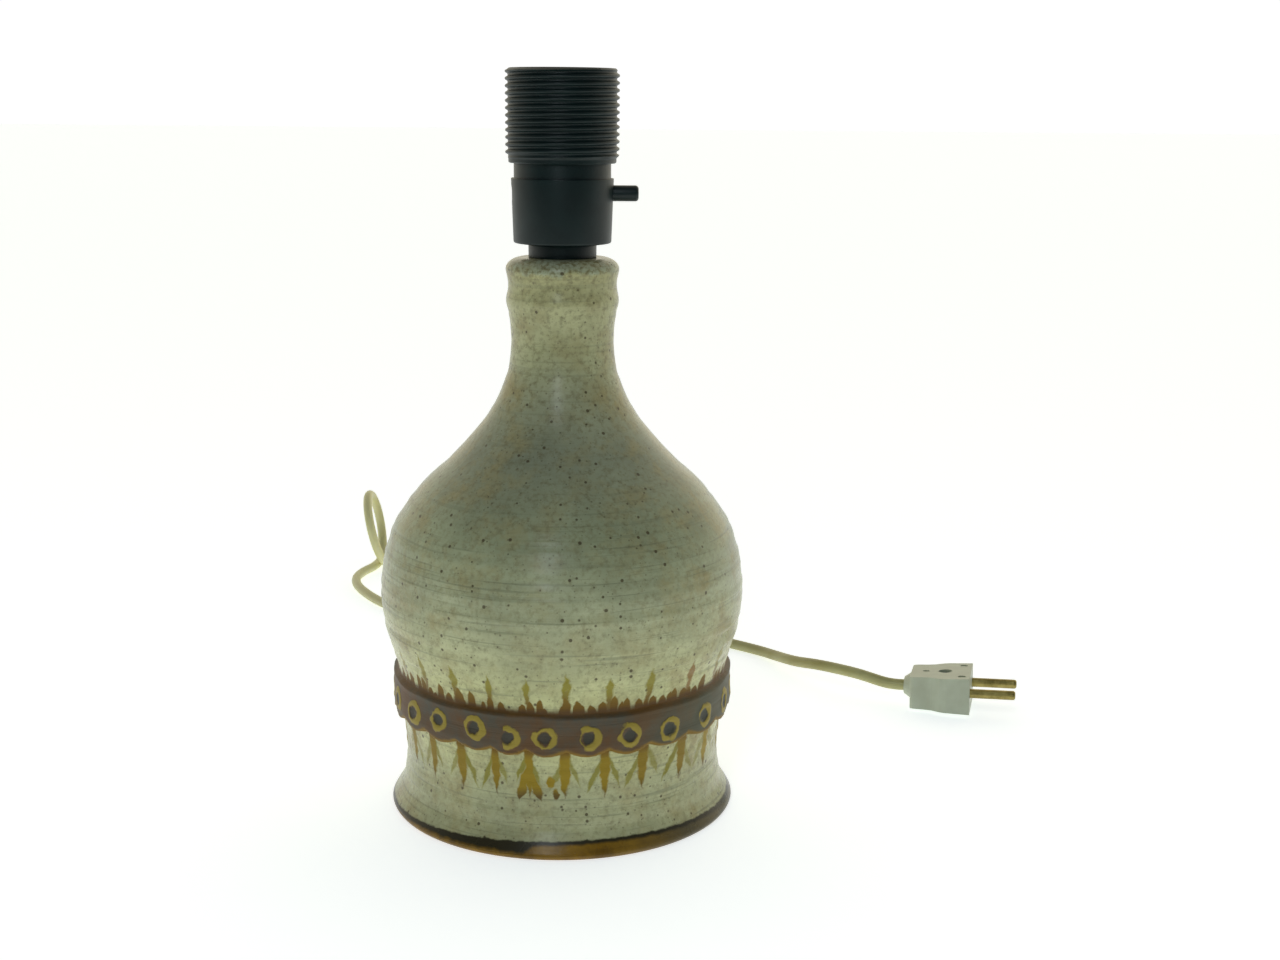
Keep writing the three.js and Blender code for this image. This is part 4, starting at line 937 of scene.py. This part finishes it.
def slip_below(put, at, glaze):
    """Below the band: slanting reeds, and over them a drip at each notch.

    One drip is forked and beside two loose dabs. Gives the reeds over the glaze, the drips' mask and
    their colour, browner at the start and at the tip, where the slip lay thick.
    """
    reeds = []
    for lean, width in REED_LEANS_AND_WIDTHS:
        mask, _, dice = brush_strokes(put, at, lean=lean, width=width, **REED)
        weight = put("MapRange", (dice[2], 0.0, 1.0, 0.7, 1.0))
        reeds.append(put("Math", (mask, weight), "MULTIPLY"))
    reeds = put("MixRGB", (put("Math", reeds, "MAXIMUM"), glaze, linear("#87812a")))

    drip, down, dice = brush_strokes(put, at, **DRIP)
    forked = float(round(cell_at(FORKED_DRIP) - 0.5))
    more = [brush_strokes(put, at, lean=lean, only=forked, **TINE)[0] for lean in TINE_LEANS]
    more += [slip_dab(put, at, *dab) for dab in DABS]
    for mask in more:
        drip = put("Math", (drip, mask), "MAXIMUM")
    colour = put("MixRGB", (dice[2], linear("#9c840f"), linear("#8a7212")))
    start = put("MapRange", (down, 0.05, 0.2, 0.7, 0.0))
    tip = put("MapRange", (down, 0.74, 0.95))
    return reeds, drip, lay_over(put, colour, [(start, "#694813"), (tip, "#5f4a16")])


def slip_above(put, at, glaze):
    """Above the band: a tall leaf at each notch, the band's bleeding teeth and its brown hem."""
    leaf, up, dice = brush_strokes(put, at, **LEAF)
    leaf_weight = put("Math", (leaf, 0.95), "MULTIPLY")
    leaf_colour = put("MixRGB", (put("MapRange", (up, 0.25, 0.6)), linear("#765c1a"), linear("#8d8426")))
    browner = put("Math", (dice[2], 0.82), "GREATER_THAN")
    leaf_colour = lay_over(put, leaf_colour, [(browner, "#8a6a2c")])
    painted = put("MixRGB", (leaf_weight, glaze, leaf_colour))

    teeth = put("Math", [oxide_teeth(put, at, *row) for row in TEETH], "MAXIMUM")
    rise = put("MapRange", (at.z, BAND_TOP, BAND_TOP + 6.0))
    tooth_colour = put("MixRGB", (rise, linear("#6d4c12"), linear("#7f6516")))
    painted = put("MixRGB", (teeth, painted, tooth_colour))
    hem = put("MapRange", (at.z, BAND_TOP + 0.9, BAND_TOP + 2.2, 0.8, 0.0))
    return lay_over(put, painted, [(hem, "#5e4320")]), teeth


def oxide_colour(put, at, over_low, hoop, pit):
    """The band's oxide: brown and grey in patches, greyer at the right, warmer along its edges."""
    mottle = patches(put, at.place, 0.06, 5.0, (0.4, 0.6), roughness=0.65)
    oxide = put("MixRGB", (mottle, linear("#624729"), linear("#524e40")))
    to_right = put("MapRange", (at.angle, 0.3, 0.9, 0.0, 0.6))
    to_right = put("Math", (to_right, at.before_back), "MULTIPLY")
    low_edge = put("MapRange", (over_low, 1.3, 2.3, 0.85, 0.0))
    top_edge = put("MapRange", (at.z, BAND_TOP - 1.2, BAND_TOP, 0.0, 0.8))
    pit_weight = put("Math", (pit, 0.8), "MULTIPLY")
    return lay_over(put, oxide, [
        (to_right, "#575a43"), (low_edge, "#8c6d20"), (top_edge, "#6d4c1a"), (hoop, "#9a8834"),
        (pit_weight, "#373a32"),
    ])


def dipped_foot(put, at):
    """The foot was dipped in a dark iron glaze that broke to amber where it ran thin."""
    # The dip line sways between about 3 and 7 mm up
    twice = put("Math", (at.angle, 2.0), "MULTIPLY")
    sway = put("Math", (put("Math", (twice,), "COSINE"), 1.2, 5.3), "MULTIPLY_ADD")
    sway = put("Math", (put("Math", (at.angle,), "SINE"), 0.9, sway), "MULTIPLY_ADD")
    dip_line = put("Math", (at.shake_up, 1.2, sway), "MULTIPLY_ADD")
    depth = put("Math", (dip_line, at.height), "SUBTRACT")
    dip = put("MapRange", (depth, -0.15, 0.35))

    # It broke most from the front to the right
    from_left = put("MapRange", (at.angle, -0.22, -0.12))
    from_right = put("MapRange", (at.angle, 0.7, 1.1, 1.0, 0.25))
    broken = put("Math", (from_left, from_right), "MULTIPLY")
    broken = put("Math", (broken, at.before_back), "MULTIPLY")
    streaks = put("TexNoise", {
        "Vector": at.place, "Scale": 0.05, "Detail": 5.0, "Roughness": 0.65,
    }, out="Fac")
    broken = put("Math", (streaks, 0.5, broken), "MULTIPLY_ADD")
    amber_top = put("MapRange", (broken, 0.2, 1.2, 2.6, 6.4))
    amber = put("Math", (amber_top, at.z), "SUBTRACT")
    amber = put("MapRange", (amber, -0.5, 0.9))
    amber = put("Math", (amber, put("MapRange", (depth, 0.9, 1.7))), "MULTIPLY")

    ran = put("MapRange", (streaks, 0.4, 0.62))
    amber_colour = put("MixRGB", (ran, linear("#6e5218"), linear("#97731c")))
    right_side = put("MapRange", (at.angle, 0.2, 0.75, 0.0, 0.85))
    right_side = put("Math", (right_side, at.before_back), "MULTIPLY")
    amber_colour = lay_over(put, amber_colour, [(right_side, "#4c4a36")])
    return put("MixRGB", (amber, linear("#322e1e"), amber_colour)), dip


def make_glaze():
    """Stoneware under a semi-matt ash glaze, wheel-thrown, brushed with iron oxide and fired in reduction.

    The glaze breaks from grey-green to cream where it lies thin, with iron specks that bled through.
    The band's brown is bare oxide; the rings and strokes are ochre slip that ran a little. Bare clay
    shows under the foot.
    """
    material, put = new_material("ash-glazed stoneware")
    at = PatternPlace(put)
    skin = put("TexNoise", {"Vector": at.place, "Scale": 0.6, "Detail": 3.0}, out="Fac")
    glaze, line, speck = plain_glaze(put, at, skin)
    reeds, drip, drip_colour = slip_below(put, at, glaze)
    bled, teeth = slip_above(put, at, glaze)
    below = put("Math", (at.z, BAND_TOP), "LESS_THAN")
    colour = put("MixRGB", (below, bled, reeds))
    colour = put("MixRGB", (drip, colour, drip_colour))
    hoop, pit = ring_masks(put, at)
    band, over_low = band_masks(put, at)
    colour = put("MixRGB", (band, colour, oxide_colour(put, at, over_low, hoop, pit)))
    foot, dip = dipped_foot(put, at)
    colour = put("MixRGB", (dip, colour, foot))
    bare = put("MapRange", (at.height, 0.1, 0.5, 1.0, 0.0))
    colour = lay_over(put, colour, [(bare, "#a08a6a")])

    # Relief in millimetres: soft glaze skin, level lines, pitted specks, raised slip, hoops and pits
    level_lines = put("VectorMath", (at.place, (0.03, 0.03, 0.9)), "MULTIPLY")
    lines = put("TexNoise", {"Vector": level_lines, "Scale": 1.0, "Detail": 2.0}, out="Fac")
    raised = put("Math", (hoop, band), "MULTIPLY")
    sunk = put("Math", (pit, band), "MULTIPLY")
    rises = [
        (skin, 0.05), (lines, 0.1), (line, -0.12), (speck, -0.04), (drip, 0.08), (teeth, 0.05),
        (raised, 0.22), (sunk, -0.2),
    ]
    relief = 0.0
    for mask, rise in rises:
        relief = put("Math", (mask, rise, relief), "MULTIPLY_ADD")
    bump = put("Bump", {"Height": relief, "Strength": 0.8, "Distance": MM}, out="Normal")

    # The glaze is satin, and the slip and the oxide are duller
    slip = put("Math", (put("Math", (drip, teeth), "MAXIMUM"), band), "MAXIMUM")
    glossy = patches(put, at.place, 0.11, 3.0, to=(0.2, 0.34))
    put("OutputMaterial", {"Surface": put("BsdfPrincipled", {
        "Base Color": colour, "Roughness": put("MapRange", (slip, 0.0, 1.0, glossy, 0.5)),
        "Normal": bump, "IOR": 1.5, "Specular IOR Level": 0.28,
    })})
    return material


FINISH["glazed_stoneware"] = make_glaze()


def make_pot():
    pot = mesh_piece("glazed_pot", *revolve(pot_outline(), 576, pot_surface), "glazed_stoneware",
                     "stoneware_body")
    outside = (0, 90, OUTLET_HEIGHT)
    cut_with(pot, [
        drill(FLANGE_SEAT, (0, OUTLET_FACE, OUTLET_HEIGHT), outside),
        drill(FLEX_HOLE, (0, OUTLET_FACE / 2, OUTLET_HEIGHT), outside),
    ])


make_pot()


# CAD nodes that stay get their finish, and the plug's mouldings softer edges

SHARP = math.radians(SHARP_EDGE)
DRESSED = {
    "steel": ["nipple_washer", "threaded_nipple", "nipple_lock_screw", "terminal_screw_live",
              "terminal_screw_neutral", "detent_leaf", "plug_screw"],
    "brass": ["nipple_nut", "centre_contact", "terminal_live", "terminal_neutral", "contact_bridge",
              "plug_pin_far", "plug_pin_near"],
    "plug_plastic": ["plug_base", "plug_cover"],
    "brown_phenolic": ["contact_block"],
    "tie_plastic": ["coil_tie"],
    "black_thermoplastic": ["cord_bushing"],
    "flex_pvc": ["inner_cord"],
    "live_pvc": ["core_live"],
    "neutral_pvc": ["core_neutral"],
}

for slot, nodes in DRESSED.items():
    for node in nodes:
        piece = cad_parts[node]
        piece.data.materials.clear()
        piece.data.materials.append(FINISH[slot])
        piece.data.shade_smooth()
        piece.data.set_sharp_from_angle(angle=SHARP)

for node in DRESSED["plug_plastic"]:
    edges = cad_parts[node].modifiers.new("moulded edges", "BEVEL")
    edges.width = 0.35 * MM
    edges.segments = 3
    edges.limit_method = "ANGLE"
    edges.angle_limit = SHARP


# Lamp holder: levels and radii repeat those of the solids. Outlines are of (radius, height), where a
# third number is the rounding of a corner.

COLLAR_TOP = 206.5
SHOULDER = 229.1
BARREL_FOOT = 234.3
BARREL_RIM = 266.7
ROD_HEIGHT = COLLAR_TOP + 17.4
NIPPLE_CLEAR = 5.3
TURNED_STEPS = 96

COLLAR_RADIUS = 12.05
COLLAR = [
    (NIPPLE_CLEAR, POT_HEIGHT), (COLLAR_RADIUS, POT_HEIGHT), (COLLAR_RADIUS, COLLAR_TOP, 0.9),
    (NIPPLE_CLEAR, COLLAR_TOP),
]

# The lower body widens up to its shoulder. A sleeve stands on that inside the barrel, and a boss for
# the tube stands on the floor of the well.
FOOT_EDGE = (17.3, COLLAR_TOP, 0.8)
SHOULDER_EDGE = (18.1, SHOULDER, 0.35)
SLEEVE, SLEEVE_BORE, SLEEVE_TOP = 17.1, 15.7, 244.3
WELL, WELL_TOP, WELL_FLOOR = 14.1, 228.0, 209.5
BOSS, BOSS_TOP = 8.2, 214.0
LOWER_BODY = [
    (NIPPLE_CLEAR, COLLAR_TOP), FOOT_EDGE, SHOULDER_EDGE, (SLEEVE, SHOULDER, 0.15),
    (SLEEVE, SLEEVE_TOP), (SLEEVE_BORE, SLEEVE_TOP), (SLEEVE_BORE, WELL_TOP), (WELL, WELL_TOP),
    (WELL, WELL_FLOOR), (BOSS, WELL_FLOOR), (BOSS, BOSS_TOP), (NIPPLE_CLEAR, BOSS_TOP),
]
ROD_HOLE = 3.1
LOCK_SCREW_HOLE = 1.8


def make_holder_body():
    mesh_piece("collar", *revolve(rounded(COLLAR, 0.3), TURNED_STEPS), "black_thermoplastic",
               "holder_collar", angle=SHARP_EDGE)
    body = mesh_piece("holder_lower_body", *revolve(rounded(LOWER_BODY, 0.25), TURNED_STEPS),
                      "black_thermoplastic", "holder_cap", angle=SHARP_EDGE)
    screw_height = (WELL_FLOOR + BOSS_TOP) / 2
    cut_with(body, [
        drill(ROD_HOLE, (-25, 0, ROD_HEIGHT), (25, 0, ROD_HEIGHT)),
        drill(LOCK_SCREW_HOLE, (0, 4, screw_height), (0, 14, screw_height), 32),
    ])


def make_barrel():
    """The barrel with its one helical thread, which fades out at both ends."""
    pitch, crest, root, blank = 2.5, 20.0, 19.05, 18.95
    bore, mouth, ledge = 17.4, 14.6, 264.1
    outline = [(blank - 0.45, BARREL_FOOT)]
    outline += [(blank, z) for z in np.arange(BARREL_FOOT + 0.35, BARREL_RIM - 0.5, 0.2)]
    outline += [(blank - 0.05, BARREL_RIM - 0.2), (blank - 0.35, BARREL_RIM)]
    inside = [(mouth, BARREL_RIM, 0.5), (mouth, ledge), (bore, ledge), (bore, BARREL_FOOT, 0.4)]
    outline += rounded(inside, 0.3)

    def thread(radii, heights, angles):
        turn = ((heights - BARREL_FOOT) / pitch - angles / TURN) % 1
        flank = smoothstep(0.18, 0.82, np.abs(2 * turn - 1))
        fade = smoothstep(BARREL_FOOT + 1.4, BARREL_FOOT + 3.0, heights)
        fade = fade * (1 - smoothstep(BARREL_RIM - 0.9, BARREL_RIM - 0.3, heights))
        threaded = radii + (root + (crest - root) * flank - radii) * fade
        return np.where(radii > blank - 0.02, threaded, radii)

    mesh_piece("holder_threaded_barrel", *revolve(outline, 160, thread), "black_thermoplastic",
               "threaded_barrel", angle=50)


def make_shell():
    """The rolled shell for the lamp's screw cap, with its helical thread."""
    pitch, depth, wall = 3.63, 0.9, 0.5
    foot, top, radius, contact_hole = 237.3, 257.0, 12.7, 10.6
    heights = np.arange(foot + wall, top, 0.35)
    outline = [(contact_hole, foot), (radius, foot)] + [(radius, z) for z in heights]
    outline += [(radius - wall, z) for z in heights[::-1]] + [(contact_hole, foot + wall)]

    def rolled(radii, heights, angles):
        turn = (heights - foot) / pitch - angles / TURN
        wave = depth * (0.5 - 0.5 * np.cos(TURN * turn))
        fade = smoothstep(foot + 1.2, foot + 3.2, heights) * (1 - smoothstep(top - 2.2, top - 0.9, heights))
        return np.where(radii > 11, radii + wave * fade, radii)

    mesh_piece("rolled_lamp_shell", *revolve(outline, 96, rolled), "brass", "lamp_screw_shell", angle=50)


def make_rod():
    """The push rod, with two grooves for the spring leaf and one for the contact ring."""
    radius, start, end, nose = 2.8, -17.7, 26.8, 1.1
    leaf_grooves, groove_radius = (-8.0, -0.5), 2.3
    seat_start, seat_end, seat_radius = 3.2, 4.8, 2.1
    outline = [(0, start), (1.4, start), (2.4, start), (2.65, start + 0.1), (radius, start + 0.4)]
    for x in leaf_grooves:
        outline += [(radius, x - 1.4), (groove_radius, x - 0.9), (groove_radius, x + 0.9), (radius, x + 1.4)]
    outline += [(radius, seat_start), (seat_radius, seat_start), (seat_radius, seat_end), (radius, seat_end)]
    # Two more rows keep the nose's soft shading off the rest of the wall
    outline += [(radius, 10.0), (radius, 20.0)]
    outline += [(radius - nose * (1 - math.cos(t)), end - nose * (1 - math.sin(t)))
                for t in np.linspace(0, math.pi / 2, 8)]
    outline += [(0.9, end), (0, end)]
    points, faces = revolve_on_axis(outline, 64)
    along_x = np.column_stack([points[:, 2], points[:, 1], -points[:, 0]]) + [0, 0, ROD_HEIGHT]
    mesh_piece("push_rod", along_x, faces, "black_thermoplastic", "switch_rod", body="switch",
               angle=SHARP_EDGE)


make_holder_body()
make_barrel()
make_shell()
make_rod()


# Floor and light

FLOOR_SIDE = 20.0
FLOOR_SEAM = -0.6


def make_floor():
    """A plain pale sheet, lit through like a light table, in metres.

    It is two strips, and the front one, from the seam on, throws no light on the lamp.
    """
    material, put = new_material("pale acrylic sheet")
    put("OutputMaterial", {"Surface": put("BsdfPrincipled", {
        "Base Color": linear("#f4f6f2"), "Roughness": 0.85, "Specular IOR Level": 0.1,
        "Emission Color": linear("#f5faff"), "Emission Strength": 0.64,
    })})
    strips = (("floor", FLOOR_SEAM, FLOOR_SIDE, True), ("front_floor", -FLOOR_SIDE, FLOOR_SEAM, False))
    for name, front, back, lights in strips:
        mesh = bpy.data.meshes.new(name)
        left, right = -FLOOR_SIDE, FLOOR_SIDE
        corners = [(left, front, 0), (right, front, 0), (right, back, 0), (left, back, 0)]
        mesh.from_pydata(corners, [], [(0, 1, 2, 3)])
        mesh.materials.append(material)
        floor = bpy.data.objects.new(name, mesh)
        floor.visible_diffuse = floor.visible_glossy = lights
        bpy.context.scene.collection.objects.link(floor)


def make_light():
    """A bright wall behind the lamp and a dim room in front of it, and one softbox from the front left.

    The camera sees plain white where it sees past the floor.
    """
    world = bpy.data.worlds.new("studio")
    bpy.context.scene.world = world
    world.use_nodes = True
    put = node_adder(world.node_tree)
    way = put("SeparateXYZ", {"Vector": put("TexCoord", out="Generated")}).node.outputs
    behind = put("MapRange", (way["Y"], -0.4, 0.7, 0.08, 1.4))
    overhead = put("MapRange", (way["Z"], 0.1, 0.9, 1.0, 0.6))
    sideways = put("MapRange", (way["X"], -0.8, 0.8, 0.8, 1.1))
    level = put("Math", (behind, overhead), "MULTIPLY")
    level = put("Math", (level, sideways), "MULTIPLY")
    warmth = put("MapRange", (way["Y"], -0.6, 0.3))
    tint = put("MixRGB", (warmth, linear("#dcebff"), linear("#fff8e2")))
    soft = put("Background", {"Color": tint, "Strength": level})
    plain = put("Background", {"Color": linear("#ffffff"), "Strength": 1.02})
    seen = put("LightPath", out="Is Camera Ray")
    put("OutputWorld", {"Surface": put("MixShader", (seen, soft, plain))})

    light = bpy.data.lights.new("front softbox", "AREA")
    light.shape = "RECTANGLE"
    light.size, light.size_y = 0.25, 1.0
    light.energy = 4.8
    light.color = (0.86, 0.94, 1.0)
    softbox = bpy.data.objects.new("front softbox", light)
    softbox.location = (-0.25, -1.3, 1.0)
    aim = Vector((0.0, 0.0, 0.15))
    softbox.rotation_euler = (aim - softbox.location).to_track_quat("-Z", "Y").to_euler()
    bpy.context.scene.collection.objects.link(softbox)
    bpy.context.scene.view_settings.view_transform = "Standard"


make_floor()
make_light()
